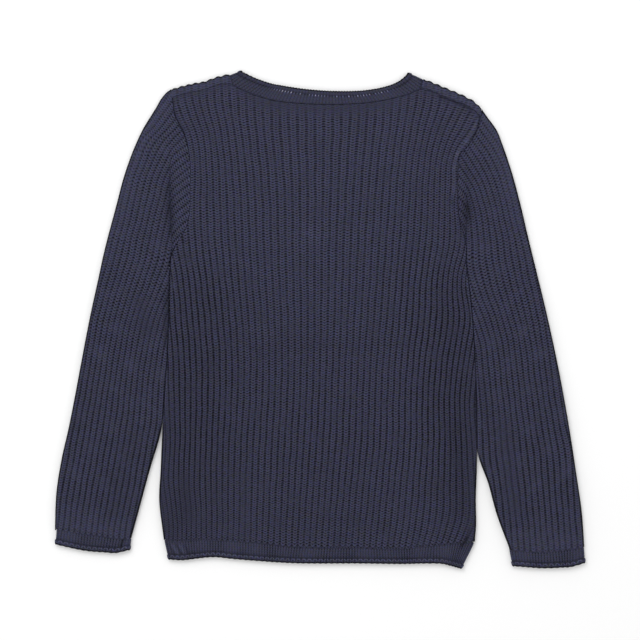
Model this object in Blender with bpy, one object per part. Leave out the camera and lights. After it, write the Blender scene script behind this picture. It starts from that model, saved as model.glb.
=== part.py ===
"""A long-sleeved rib knit sweater for a child, laid flat with its back upwards.

Every table is in millimetres, seen from above: x runs to the right, y towards the neck, z up from the
surface that the sweater lies on. The origin is under the middle of the sweater's box.
"""

import bmesh
import bpy
import numpy as np

MM = 0.001

# Layers, from the surface up.
WALL = 2.4
SEAM_GAP = 0.3
GROOVE_GAP = 0.5
FOLD_LEVEL = WALL + SEAM_GAP / 2
UPPER_UNDERSIDE = WALL + SEAM_GAP
UPPER_TOP = 5.6
RIB_HEIGHT = 1.1
SEAM_DIP = 0.8

# Ribs: a rib is one unit of the rib number, from one valley to the next.
RIB_CREST_FROM = 0.3
RIB_CREST_TO = 0.7

# Rounded edges.
SIDE_RADIUS = 4.5
SIDE_RIM = 3.3
ARMHOLE_RIM = 4.7
PLATE_RADIUS = 1.2
PLATE_RIM = 1.1
SHOULDER_RADIUS = 3.0

# Bands at the neck, hem and cuffs.
BAND_ROLL = 5.5
HEM_RIB = 5.7
CUFF_RIB = 5.85
NECK_RIB = 5.0
FRONT_NECK_DROP = 60.0
BAND_EXTRA_DROP = 6.0
NECK_SECTIONS = 13

NAVY = (0.034, 0.035, 0.061)
NAVY_BAND = (0.031, 0.031, 0.052)
NAVY_NECK = (0.045, 0.045, 0.074)
KNIT_ROUGHNESS = 0.92

# How the walls are divided. A row carries ribs from RIB_MARGIN inside its rounded edges, and has its
# seam's corners from CORNER_MARGIN inside its ends.
SAMPLES = 400
EDGE_STEPS = np.array([0.0, 0.12, 0.45, 1.0])
EDGE_KEY = 1000.0
LEAST_STEP = 0.6
RIB_MARGIN = 1.0
CORNER_MARGIN = 6.2
INSIDE_POINTS = 7
SLOT_POINTS = 5
UNDERARM_ROW = 10
UNDERARM_SPREAD = 0.7
ARMHOLE_BLEND = 20.0
CREASE_FADE = 15.0
CAP_SHARES = (0.0, 0.2, 0.42, 0.7)
FOLD_SHARES = (0.25, 0.5, 0.75)


def columns(names, *rows):
    """A table as a dictionary of named columns."""
    return dict(zip(names.split(), np.array(rows, float).T))


# The two sides of the body, from the hem seam to the tips of the shoulders. A row of the body runs from
# (left, left_y) to (right, right_y). neck is the share of the neck's curve in it, hem that of the hem's.
BODY = columns(
    "left_y left right_y right hem neck",
    (-219.8, -156.4, -222.0, 155.0, 1.00, 0.00),
    (-205.0, -158.4, -206.0, 156.3, 0.50, 0.00),
    (-181.0, -161.0, -181.0, 156.0, 0.20, 0.00),
    (-150.0, -159.6, -150.0, 157.0, 0.00, 0.00),
    (-111.0, -157.9, -111.0, 157.2, 0.00, 0.00),
    (-75.0, -155.6, -75.0, 156.6, 0.00, 0.00),
    (-39.0, -153.0, -39.0, 155.0, 0.00, 0.00),
    (-5.0, -151.4, -5.0, 153.2, 0.00, 0.00),
    (30.0, -150.6, 30.0, 149.8, 0.00, 0.00),
    (52.0, -150.0, 46.0, 147.6, 0.00, 0.00),
    (65.0, -148.5, 58.0, 146.2, 0.00, 0.00),
    (77.0, -143.0, 72.0, 146.6, 0.00, 0.00),
    (91.0, -134.5, 88.0, 143.0, 0.00, 0.00),
    (105.0, -131.0, 102.0, 139.4, 0.00, 0.05),
    (130.0, -130.0, 128.0, 138.0, 0.00, 0.12),
    (155.0, -130.0, 153.5, 138.5, 0.00, 0.25),
    (170.0, -131.8, 166.0, 140.6, 0.00, 0.40),
    (185.0, -136.0, 175.0, 148.7, 0.00, 0.60),
    (204.0, -145.0, 190.0, 157.0, 0.00, 0.80),
    (222.0, -147.8, 203.0, 160.4, 0.00, 1.00),
)

# Upper edge of the back panel: along the left shoulder seam, the neckband and the right shoulder seam.
BACK_TOP = columns(
    "x y",
    (-147.8, 222.0),
    (-140.0, 225.0),
    (-128.0, 228.0),
    (-116.0, 230.0),
    (-104.0, 234.5),
    (-94.0, 236.3),
    (-88.0, 235.0),
    (-84.0, 233.0),
    (-75.0, 228.5),
    (-64.0, 224.3),
    (-47.0, 219.5),
    (-16.0, 216.2),
    (22.0, 215.6),
    (54.0, 218.0),
    (75.0, 222.0),
    (90.0, 226.0),
    (96.0, 229.0),
    (100.5, 230.6),
    (108.0, 229.5),
    (115.0, 227.5),
    (123.0, 223.5),
    (134.5, 219.0),
    (144.0, 216.0),
    (151.0, 212.0),
    (160.4, 203.0),
)

# The folded edge of each shoulder.
SHOULDER_EDGE = columns(
    "x y",
    (-148.3, 230.3),
    (-140.0, 233.0),
    (-128.0, 236.0),
    (-116.0, 238.0),
    (-104.0, 242.5),
    (-91.0, 245.6),
    (104.0, 240.6),
    (118.0, 235.0),
    (130.0, 230.0),
    (142.0, 225.0),
    (154.0, 218.6),
    (161.6, 211.0),
)

# The neckband on the back, from its left fold to its right fold: the seam to the panel and the open edge.
NECK_BACK = columns(
    "seam_x seam_y edge_x edge_y",
    (-89.9, 242.6, -77.4, 248.0),
    (-88.0, 235.0, -74.0, 246.6),
    (-84.0, 233.0, -68.0, 243.6),
    (-75.0, 228.5, -59.5, 240.2),
    (-64.0, 224.3, -50.0, 237.0),
    (-47.0, 219.5, -38.0, 234.6),
    (-16.0, 216.2, -12.0, 230.8),
    (22.0, 215.6, 20.0, 229.0),
    (54.0, 218.0, 46.0, 230.0),
    (75.0, 222.0, 64.0, 233.2),
    (90.0, 226.0, 76.0, 237.4),
    (96.0, 229.0, 81.0, 240.4),
    (100.5, 230.6, 85.0, 243.6),
    (102.9, 238.3, 87.0, 246.0),
)

# The hem on the back, from its left fold to its right fold.
HEM = columns(
    "seam_x seam_y edge_x edge_y",
    (-153.6, -219.9, -149.6, -239.6),
    (-141.0, -221.0, -138.0, -240.3),
    (-127.0, -219.4, -125.5, -238.9),
    (-107.0, -219.7, -107.0, -237.2),
    (-85.0, -220.4, -85.0, -239.2),
    (-60.0, -222.5, -60.0, -241.2),
    (-30.0, -226.0, -32.0, -243.0),
    (40.0, -227.3, 40.0, -243.5),
    (83.0, -228.0, 84.0, -244.0),
    (108.0, -225.5, 106.0, -243.6),
    (121.0, -224.2, 121.0, -243.8),
    (136.0, -222.6, 131.0, -246.0),
    (152.4, -222.2, 139.6, -248.4),
)

LEFT_CUFF = columns(
    "seam_x seam_y edge_x edge_y",
    (-261.0, -209.3, -263.2, -224.8),
    (-250.0, -210.8, -252.0, -227.4),
    (-234.5, -213.2, -236.5, -230.6),
    (-213.0, -216.4, -216.0, -232.4),
    (-199.0, -218.4, -202.0, -232.8),
    (-191.4, -218.6, -192.6, -230.4),
)

RIGHT_CUFF = columns(
    "seam_x seam_y edge_x edge_y",
    (192.0, -230.0, 195.0, -246.4),
    (204.0, -230.6, 206.0, -247.2),
    (220.0, -231.5, 221.0, -248.3),
    (238.0, -230.2, 240.0, -247.8),
    (255.0, -228.2, 255.0, -246.2),
    (261.8, -227.2, 263.4, -243.6),
)

# Sleeves, as if each were the left one: a row runs from the outer edge to the inner edge.
LEFT_SLEEVE_ROWS = columns(
    "outer_y outer inner_y inner",
    (66.0, -216.8, 51.0, -150.4),
    (40.0, -222.4, 26.0, -150.9),
    (12.0, -228.6, -1.0, -151.8),
    (-20.0, -235.0, -32.0, -153.2),
    (-52.0, -241.0, -62.0, -155.2),
    (-84.0, -247.0, -94.0, -157.4),
    (-108.0, -251.8, -113.0, -159.2),
    (-140.0, -259.0, -150.0, -170.0),
    (-172.0, -264.0, -182.0, -178.6),
    (-208.9, -265.6, -218.6, -188.6),
)
LEFT_CAP_EDGE = columns(
    "x y",
    (-148.7, 230.3),
    (-158.0, 223.0),
    (-164.0, 213.0),
    (-178.0, 190.0),
    (-185.0, 175.0),
    (-196.0, 145.0),
    (-204.0, 115.0),
    (-216.8, 66.0),
)
RIGHT_SLEEVE_ROWS = columns(
    "outer_y outer inner_y inner",
    (62.0, -213.6, 46.0, -148.0),
    (40.0, -219.0, 25.0, -150.9),
    (12.0, -225.8, -1.0, -153.2),
    (-20.0, -233.0, -30.0, -154.8),
    (-52.0, -239.6, -62.0, -156.4),
    (-84.0, -245.6, -94.0, -157.3),
    (-125.0, -252.4, -137.0, -158.4),
    (-157.0, -257.2, -163.0, -167.8),
    (-190.0, -262.0, -193.0, -176.0),
    (-226.8, -264.8, -229.9, -189.6),
)
RIGHT_CAP_EDGE = columns(
    "x y",
    (-162.0, 211.0),
    (-167.0, 204.0),
    (-177.0, 190.0),
    (-183.0, 175.0),
    (-193.0, 145.0),
    (-201.0, 115.0),
    (-208.0, 85.0),
    (-213.6, 62.0),
)

# Rib lines of the body: rib 0 passes through centre, and the ribs beside it lie pitch apart. They draw
# together towards the sides by narrow times the cube of the rib number.
BODY_RIBS = columns(
    "y centre pitch narrow_left narrow_right",
    (-245.0, -17.5, 6.10, 0.00010, 0.00010),
    (-160.0, -13.0, 6.33, 0.00028, 0.00051),
    (-80.0, -8.0, 6.35, 0.00032, 0.00051),
    (0.0, -6.0, 6.65, 0.00069, 0.00090),
    (120.0, -5.0, 7.70, 0.00200, 0.00225),
    (190.0, -6.0, 8.70, 0.00400, 0.00310),
    (235.0, -6.0, 9.00, 0.00400, 0.00330),
)

# Rib lines of the sleeves: rib 0, and the distance between ribs measured square across them.
LEFT_RIBS = columns(
    "y centre pitch",
    (-232.0, -244.0, 5.60),
    (-180.0, -237.0, 5.85),
    (-100.0, -225.0, 5.75),
    (-60.0, -220.0, 5.30),
    (-20.0, -214.0, 5.35),
    (20.0, -204.0, 5.65),
    (60.0, -193.0, 6.40),
    (120.0, -179.0, 6.35),
    (150.0, -170.0, 6.30),
    (170.0, -161.0, 6.10),
    (190.0, -149.6, 6.00),
    (231.0, -124.0, 6.00),
)
RIGHT_RIBS = columns(
    "y centre pitch",
    (-250.0, -239.0, 6.30),
    (-180.0, -231.0, 6.00),
    (-100.0, -222.0, 6.10),
    (-60.0, -217.0, 5.65),
    (-20.0, -211.5, 5.55),
    (20.0, -202.0, 5.95),
    (60.0, -193.0, 6.60),
    (105.0, -185.0, 6.10),
    (140.0, -175.0, 5.90),
    (170.0, -160.0, 5.90),
    (190.0, -148.0, 5.90),
    (231.0, -124.0, 5.90),
)

# The crease that runs up from each underarm: its line, its depth and its half width.
LEFT_CREASE = columns(
    "y x depth half_width",
    (52.0, -149.0, 1.7, 5.0),
    (67.0, -147.7, 1.7, 6.0),
    (93.0, -148.3, 1.8, 7.0),
    (125.0, -149.0, 1.5, 8.0),
    (149.0, -152.4, 0.8, 8.0),
)
RIGHT_CREASE = columns(
    "y x depth half_width",
    (40.0, -150.0, 0.8, 5.0),
    (60.0, -147.0, 1.0, 6.0),
    (85.0, -146.5, 1.2, 7.0),
    (108.0, -147.5, 1.8, 9.0),
    (130.0, -147.0, 1.0, 9.0),
    (155.0, -146.0, 0.3, 8.0),
)

# Between the crease and the armhole the ribs fall by fall for each millimetre towards the crease, and meet
# it spacing apart. Above the crease they pass into the sleeve's own ribs over blend.
LEFT_FAN = {"fall": 1.0, "spacing": 8.5, "blend": 30.0}
RIGHT_FAN = {"fall": 1.7, "spacing": 11.0, "blend": 20.0}


def knit_material(name, colour):
    """Matt knitted cotton in one colour."""
    material = bpy.data.materials.new(name)
    material.use_nodes = True
    shader = material.node_tree.nodes["Principled BSDF"]
    shader.inputs["Base Color"].default_value = (*colour, 1.0)
    shader.inputs["Roughness"].default_value = KNIT_ROUGHNESS
    shader.inputs["Metallic"].default_value = 0.0
    return material


class Wall:
    """The points and triangles of one closed wall of cloth.

    A row is a list of (key, point number). Two rows that are joined need not have the same number of
    points: the triangles between them climb both rows in the order of the keys.
    """

    def __init__(self):
        self.points = []
        self.faces = []

    def row(self, keys, points, ring=False):
        """Adds a row of points. A ring comes back to its first point."""
        start = len(self.points)
        self.points.extend(map(tuple, points))
        row = [(key, start + i) for i, key in enumerate(keys)]
        if ring:
            row.append((2 * EDGE_KEY, start))
        return row

    def band(self, first, second):
        """Triangles between two rows."""
        i = 0
        j = 0
        while i < len(first) - 1 or j < len(second) - 1:
            key_i = first[i + 1][0] if i < len(first) - 1 else np.inf
            key_j = second[j + 1][0] if j < len(second) - 1 else np.inf
            if key_i <= key_j:
                self.faces.append((first[i][1], first[i + 1][1], second[j][1]))
                i += 1
            else:
                self.faces.append((first[i][1], second[j + 1][1], second[j][1]))
                j += 1

    def rim(self, outer, inner, end):
        """The narrow side wall between the ends of an outer and an inner skin."""
        ends = [(a[end][1], b[end][1]) for a, b in zip(outer, inner)]
        for (a, b), (c, d) in zip(ends, ends[1:]):
            self.faces.append((a, c, d))
            self.faces.append((a, d, b))

    def close(self, outer, inner, ring=False, first=True, last=True):
        """Joins the rows of an outer and an inner skin into one closed wall."""
        for skin in (outer, inner):
            for lower, upper in zip(skin, skin[1:]):
                self.band(lower, upper)
        if not ring:
            self.rim(outer, inner, 0)
            self.rim(outer, inner, -1)
        if first:
            self.band(outer[0], inner[0])
        if last:
            self.band(outer[-1], inner[-1])

    def make(self, name, colour, centre, collection):
        """The wall as an object in metres, with its faces turned outwards."""
        mesh = bpy.data.meshes.new(name)
        mesh.from_pydata((np.array(self.points) - centre) * MM, [], self.faces)
        cloth = bmesh.new()
        cloth.from_mesh(mesh)
        bmesh.ops.recalc_face_normals(cloth, faces=cloth.faces)
        if cloth.calc_volume(signed=True) < 0:
            bmesh.ops.reverse_faces(cloth, faces=cloth.faces)
        cloth.to_mesh(mesh)
        cloth.free()
        mesh.shade_smooth()
        mesh.set_sharp_from_angle(angle=np.radians(50))
        mesh.materials.append(knit_material(name + "_knit", colour))
        made = bpy.data.objects.new(name, mesh)
        collection.objects.link(made)


def look_up(table, at, value, where):
    """One column of a table read at a place in another column, which may run up or down."""
    order = np.argsort(table[at])
    return np.interp(where, table[at][order], table[value][order])


def body_rib(x, y):
    """The rib number of points on the body, from solving x for the rib by repeated correction."""
    offset = x - look_up(BODY_RIBS, "y", "centre", y)
    pitch = look_up(BODY_RIBS, "y", "pitch", y)
    left = look_up(BODY_RIBS, "y", "narrow_left", y)
    right = look_up(BODY_RIBS, "y", "narrow_right", y)
    narrow = np.where(offset < 0, left, right)
    rib = offset / pitch
    for _ in range(6):
        rib = (offset + narrow * rib**3) / pitch
    return rib


def plain_sleeve_rib(x, y, ribs):
    """The rib number of points on a sleeve, away from the armhole."""
    slope = np.gradient(ribs["centre"], ribs["y"])
    square = np.cos(np.arctan(np.interp(y, ribs["y"], slope)))
    return (x - look_up(ribs, "y", "centre", y)) * square / look_up(ribs, "y", "pitch", y)


def sleeve_rib(x, y, ribs, crease, fan):
    """The rib number of points on a sleeve. Beside the armhole the ribs slant down into the crease."""
    plain = plain_sleeve_rib(x, y, ribs)
    past = np.maximum(x - look_up(crease, "y", "x", y), 0.0)
    crease_y = crease["y"][-1]
    landing = y - fan["fall"] * past
    slanted = plain_sleeve_rib(crease["x"][-1], crease_y, ribs) + (crease_y - landing) / fan["spacing"]
    share = np.where(past > 0.0, np.clip(1.0 - (landing - crease_y) / fan["blend"], 0.0, 1.0), 0.0)
    return plain + (slanted - plain) * share


def rib_points(lowest, highest):
    """Rib numbers of the valleys and crests between two rib numbers, and their share of the height."""
    whole = np.arange(np.floor(lowest), np.ceil(highest) + 1)
    numbers = np.concatenate([whole, whole + RIB_CREST_FROM, whole + RIB_CREST_TO])
    raised = np.concatenate([np.zeros_like(whole), np.ones_like(whole), np.ones_like(whole)])
    order = np.argsort(numbers)
    numbers = numbers[order]
    raised = raised[order]
    keep = (numbers > lowest) & (numbers < highest)
    return numbers[keep], raised[keep]


def with_breaks(lengths, breaks):
    """Lengths along a course together with the corners of a seam, which replace any length beside them."""
    if not len(breaks):
        return lengths
    clear = np.abs(lengths[:, None] - breaks).min(axis=1) > LEAST_STEP
    return np.sort(np.concatenate([lengths[clear], breaks]))


def rounded(distance, radius):
    """The share of its height that a rounded edge has reached at a distance from the edge."""
    near = np.clip(1.0 - distance / radius, 0.0, 1.0)
    return np.sqrt(1.0 - near**2)


def along(points):
    """The length along a polyline at each of its points."""
    steps = np.linalg.norm(np.diff(points, axis=0), axis=1)
    return np.concatenate([[0.0], np.cumsum(steps)])


def at_length(points, lengths):
    """Points at given lengths along a polyline."""
    total = along(points)
    return np.column_stack([np.interp(lengths, total, points[:, axis]) for axis in (0, 1)])


def body_row(index, top, inset):
    """The course of one row across the body, densely, between its sides."""
    left = (BODY["left"][index] + inset, BODY["left_y"][index])
    right = (BODY["right"][index] - inset, BODY["right_y"][index])
    x = np.linspace(left[0], right[0], SAMPLES)
    share = (x - left[0]) / (right[0] - left[0])
    y = left[1] + (right[1] - left[1]) * share
    for table, column, level in ((top, "neck", -1), (HEM_LINE, "hem", 0)):
        line_left = BODY["left_y"][level]
        line_right = BODY["right_y"][level]
        straight = line_left + (line_right - line_left) * share
        along_table = table["x"][0] + (table["x"][-1] - table["x"][0]) * share
        y += BODY[column][index] * (look_up(table, "x", "y", along_table) - straight)
    return np.column_stack([x, y])


HEM_LINE = {
    "x": np.concatenate([[BODY["left"][0]], HEM["seam_x"], [BODY["right"][0]]]),
    "y": np.concatenate([[BODY["left_y"][0]], HEM["seam_y"], [BODY["right_y"][0]]]),
}


def corners_of(table, course):
    """Lengths along a course at which the line of a table has its corners."""
    length = along(course)
    inside = (table["x"] > course[0, 0] + CORNER_MARGIN) & (table["x"] < course[-1, 0] - CORNER_MARGIN)
    return np.interp(table["x"][inside], course[:, 0], length)


def back_panel():
    """The back: a ribbed wall with rounded sides over a flat inside."""
    wall = Wall()
    outer = []
    inner = []
    steps = EDGE_STEPS * SIDE_RADIUS
    last = len(BODY["left"]) - 1
    for index in range(last + 1):
        course = body_row(index, BACK_TOP, SEAM_GAP / 2)
        course[:, 1] += SEAM_GAP / 2 if index == 0 else 0.0
        course[:, 1] -= SEAM_GAP / 2 if index == last else 0.0
        length = along(course)
        ribs = body_rib(course[:, 0], course[:, 1])
        corners = np.array([])
        if index in (0, last):
            corners = corners_of(HEM_LINE if index == 0 else BACK_TOP, course)
        margin = SIDE_RADIUS + RIB_MARGIN
        numbers, raised = rib_points(*np.interp([margin, length[-1] - margin], length, ribs))
        rib_lengths = np.interp(numbers, ribs, length)
        middle = with_breaks(rib_lengths, corners)
        lengths = np.concatenate([steps, middle, length[-1] - steps[::-1]])
        height = np.interp(lengths, rib_lengths, raised, left=0.0, right=0.0)
        above = BODY["left_y"][index] - BODY["left_y"][UNDERARM_ROW]
        low = SIDE_RIM + (ARMHOLE_RIM - SIDE_RIM) * np.clip(above / ARMHOLE_BLEND, 0.0, 1.0)
        from_side = np.minimum(lengths, length[-1] - lengths)
        z = low + (UPPER_TOP - low) * rounded(from_side, SIDE_RADIUS) + RIB_HEIGHT * height
        z -= SEAM_DIP if index in (0, last) else 0.0
        keys = np.concatenate([steps - EDGE_KEY, np.interp(middle, length, ribs), EDGE_KEY - steps[::-1]])
        outer.append(wall.row(keys, np.column_stack([at_length(course, lengths), z])))
        plain = with_breaks(np.linspace(0.0, length[-1], INSIDE_POINTS), corners)
        under = np.full(len(plain), UPPER_UNDERSIDE)
        plain_keys = np.interp(plain, length, ribs)
        plain_keys[[0, -1]] = (-EDGE_KEY, EDGE_KEY)
        inner.append(wall.row(plain_keys, np.column_stack([at_length(course, plain), under])))
    wall.close(outer, inner)
    return wall


def front_neck(count):
    """The seam and the free edge of the neckband on the front: half ellipses between its two folds."""
    angle = np.linspace(0.0, np.pi, count)
    across = (1.0 - np.cos(angle)) / 2.0
    lines = []
    for name, drop in (("seam", FRONT_NECK_DROP + BAND_EXTRA_DROP), ("edge", FRONT_NECK_DROP)):
        x = NECK_BACK[name + "_x"]
        y = NECK_BACK[name + "_y"]
        level = y[0] + (y[-1] - y[0]) * across
        lines.append(np.column_stack([x[0] + (x[-1] - x[0]) * across, level - drop * np.sin(angle)]))
    return lines


def front_panel():
    """The front: a flat wall with a deep neckline, turned over each shoulder on to the back."""
    wall = Wall()
    outer = []
    inner = []
    seam, edge = front_neck(NECK_SECTIONS)
    toward = (edge - seam) / np.linalg.norm(edge - seam, axis=1)[:, None]
    neck = (seam - toward * SEAM_GAP / 2)[1:-1]
    left = SHOULDER_EDGE["x"] < 0
    shoulders = np.column_stack([SHOULDER_EDGE["x"], SHOULDER_EDGE["y"] - SHOULDER_RADIUS])
    shoulders[[0, -1], 0] += (SEAM_GAP, -SEAM_GAP)
    crown = np.concatenate([shoulders[left], neck, shoulders[~left]])
    top = {"x": crown[:, 0], "y": crown[:, 1]}
    spread = (crown[1:-1, 0] - crown[0, 0]) / (crown[-1, 0] - crown[0, 0])
    for index in range(len(BODY["left"]) - 1):
        course = body_row(index, top, SEAM_GAP / 2)
        course[:, 1] += SEAM_GAP / 2 if index == 0 else 0.0
        length = along(course)
        inside = spread * (length[-1] - 8 * PLATE_RADIUS) + 4 * PLATE_RADIUS
        inside = corners_of(HEM_LINE, course) if index == 0 else inside
        lengths = np.concatenate([[0.0, PLATE_RADIUS], inside, [length[-1] - PLATE_RADIUS, length[-1]]])
        plate_rows(wall, outer, inner, at_length(course, lengths), lengths / length[-1])
    beside = np.array([[PLATE_RADIUS, 0.0]])
    crown = np.concatenate([crown[:1], crown[:1] + beside, crown[1:-1], crown[-1:] - beside, crown[-1:]])
    plate_rows(wall, outer, inner, crown, (crown[:, 0] - crown[0, 0]) / (crown[-1, 0] - crown[0, 0]))
    wall.close(outer, inner, last=False)
    first_neck = np.sum(left)
    last_neck = len(crown) - np.sum(~left)
    wall.band(outer[-1][first_neck:last_neck], inner[-1][first_neck:last_neck])
    skins = [[(x, point) for x, (_, point) in zip(crown[:, 0], skin[-1])] for skin in (outer, inner)]
    turned_shoulder(wall, *([row[: first_neck + 1]] for row in skins), -1)
    turned_shoulder(wall, *([row[last_neck - 1 :]] for row in skins), 1)
    return wall


def plate_rows(wall, outer, inner, place, keys):
    """One row of the flat front: the underside, raised at both ends, and the plain inside above it."""
    z = np.zeros(len(place))
    z[[0, -1]] = PLATE_RIM
    outer.append(wall.row(keys, np.column_stack([place, z])))
    inner.append(wall.row(keys, np.column_stack([place, np.full(len(place), WALL)])))


# Across the turned shoulder, from the flat underside round the fold to the shoulder seam: the distance
# inside the folded edge and the height, of the outer and of the inner skin, and what a rib adds to the
# outer skin's reach and height. A distance of -1 is the seam.
SHOULDER_TURN = columns(
    "inside height under_inside under_height scallop rib",
    (0.9, 0.6, 2.7, 2.5, 0.0, 0.0),
    (0.0, 2.1, 2.4, 2.7, 0.7, 0.0),
    (0.0, 3.8, 2.4, 2.9, 0.7, 0.0),
    (0.9, 5.2, 2.7, 3.1, 0.0, 1.1),
    (2.6, 5.8, 3.2, 3.2, 0.0, 1.1),
    (-1.0, 5.0, -1.0, 3.2, 0.0, 1.1),
)
ARM_LEAN = {"left": 0.08, "right": 0.14}
NECK_LEAN = 0.25
EDGE_CLEAR = 2.0


def shoulder_line(x, inside):
    """The line at a distance inside the folded shoulder edge, or the shoulder seam where that is below 0."""
    if inside < 0:
        return look_up(BACK_TOP, "x", "y", x) + SEAM_GAP / 2
    return look_up(SHOULDER_EDGE, "x", "y", x) - inside


def shoulder_row(low, high, side, inside, ribbed):
    """One row along a turned shoulder: x, y and the share of a rib's height at each point."""
    reach = np.array([low, high])
    drop = shoulder_line(reach, 0.0) - shoulder_line(reach, inside)
    lean = np.array([ARM_LEAN["left"], NECK_LEAN] if side < 0 else [NECK_LEAN, ARM_LEAN["right"]])
    low, high = reach - side * lean * drop
    corners = BACK_TOP["x"] if inside < 0 else SHOULDER_EDGE["x"]
    across = corners[(corners > low + EDGE_CLEAR) & (corners < high - EDGE_CLEAR)]
    raised = np.zeros(len(across))
    if ribbed:
        x = np.linspace(low, high, SAMPLES)
        ribs = body_rib(x, shoulder_line(x, inside))
        numbers, crests = rib_points(ribs[0], ribs[-1])
        rib_x = np.interp(numbers, ribs, x)
        across = with_breaks(rib_x, across)
        across = across[(across > low + LEAST_STEP) & (across < high - LEAST_STEP)]
        raised = np.interp(across, rib_x, crests)
    across = np.concatenate([[low], across, [high]])
    return across, shoulder_line(across, inside), np.concatenate([[0.0], raised, [0.0]])


def turned_shoulder(wall, outer, inner, side):
    """The strip that carries on over one shoulder and lies on the back, with its ribs."""
    low = outer[0][0][0]
    high = outer[0][-1][0]
    turn = SHOULDER_TURN
    for number, inside in enumerate(turn["inside"]):
        x, y, raised = shoulder_row(low, high, side, inside, True)
        y = y + turn["scallop"][number] * raised
        z = turn["height"][number] + turn["rib"][number] * raised
        outer.append(wall.row(x, np.column_stack([x, y, z])))
        x, y, _ = shoulder_row(low, high, side, turn["under_inside"][number], False)
        inner.append(wall.row(x, np.column_stack([x, y, np.full(len(x), turn["under_height"][number])])))
    wall.close(outer, inner, first=False)


def sleeve_course(share, rows, cap, seam):
    """One row of the cap: straight lines from the armhole to the first full row, pulled to the outer edge."""
    s = np.linspace(0.0, 1.0, SAMPLES)[:, None]
    start = at_length(seam, s[:, 0] * along(seam)[-1])
    low_outer = np.array([rows["outer"][0], rows["outer_y"][0]])
    low_inner = np.array([rows["inner"][0] - GROOVE_GAP, rows["inner_y"][0]])
    end = low_inner + (low_outer - low_inner) * (1 - s) ** UNDERARM_SPREAD
    outer_edge = at_length(cap, share * along(cap)[-1:])[0]
    straight = (1 - share) * seam[0] + share * low_outer
    return (1 - share) * start + share * end + (1 - s) * (outer_edge - straight)


def crease_depth(place, crease):
    """How far the crease beside the armhole sinks in the surface at each point."""
    depth = look_up(crease, "y", "depth", place[:, 1])
    above = np.clip(1.0 - (place[:, 1] - crease["y"][-1]) / CREASE_FADE, 0.0, 1.0)
    below = np.clip(1.0 - (crease["y"][0] - place[:, 1]) / CREASE_FADE, 0.0, 1.0)
    across = place[:, 0] - look_up(crease, "y", "x", place[:, 1])
    half_width = look_up(crease, "y", "half_width", place[:, 1])
    return depth * above * below * np.exp(-((across / half_width) ** 2))


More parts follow.
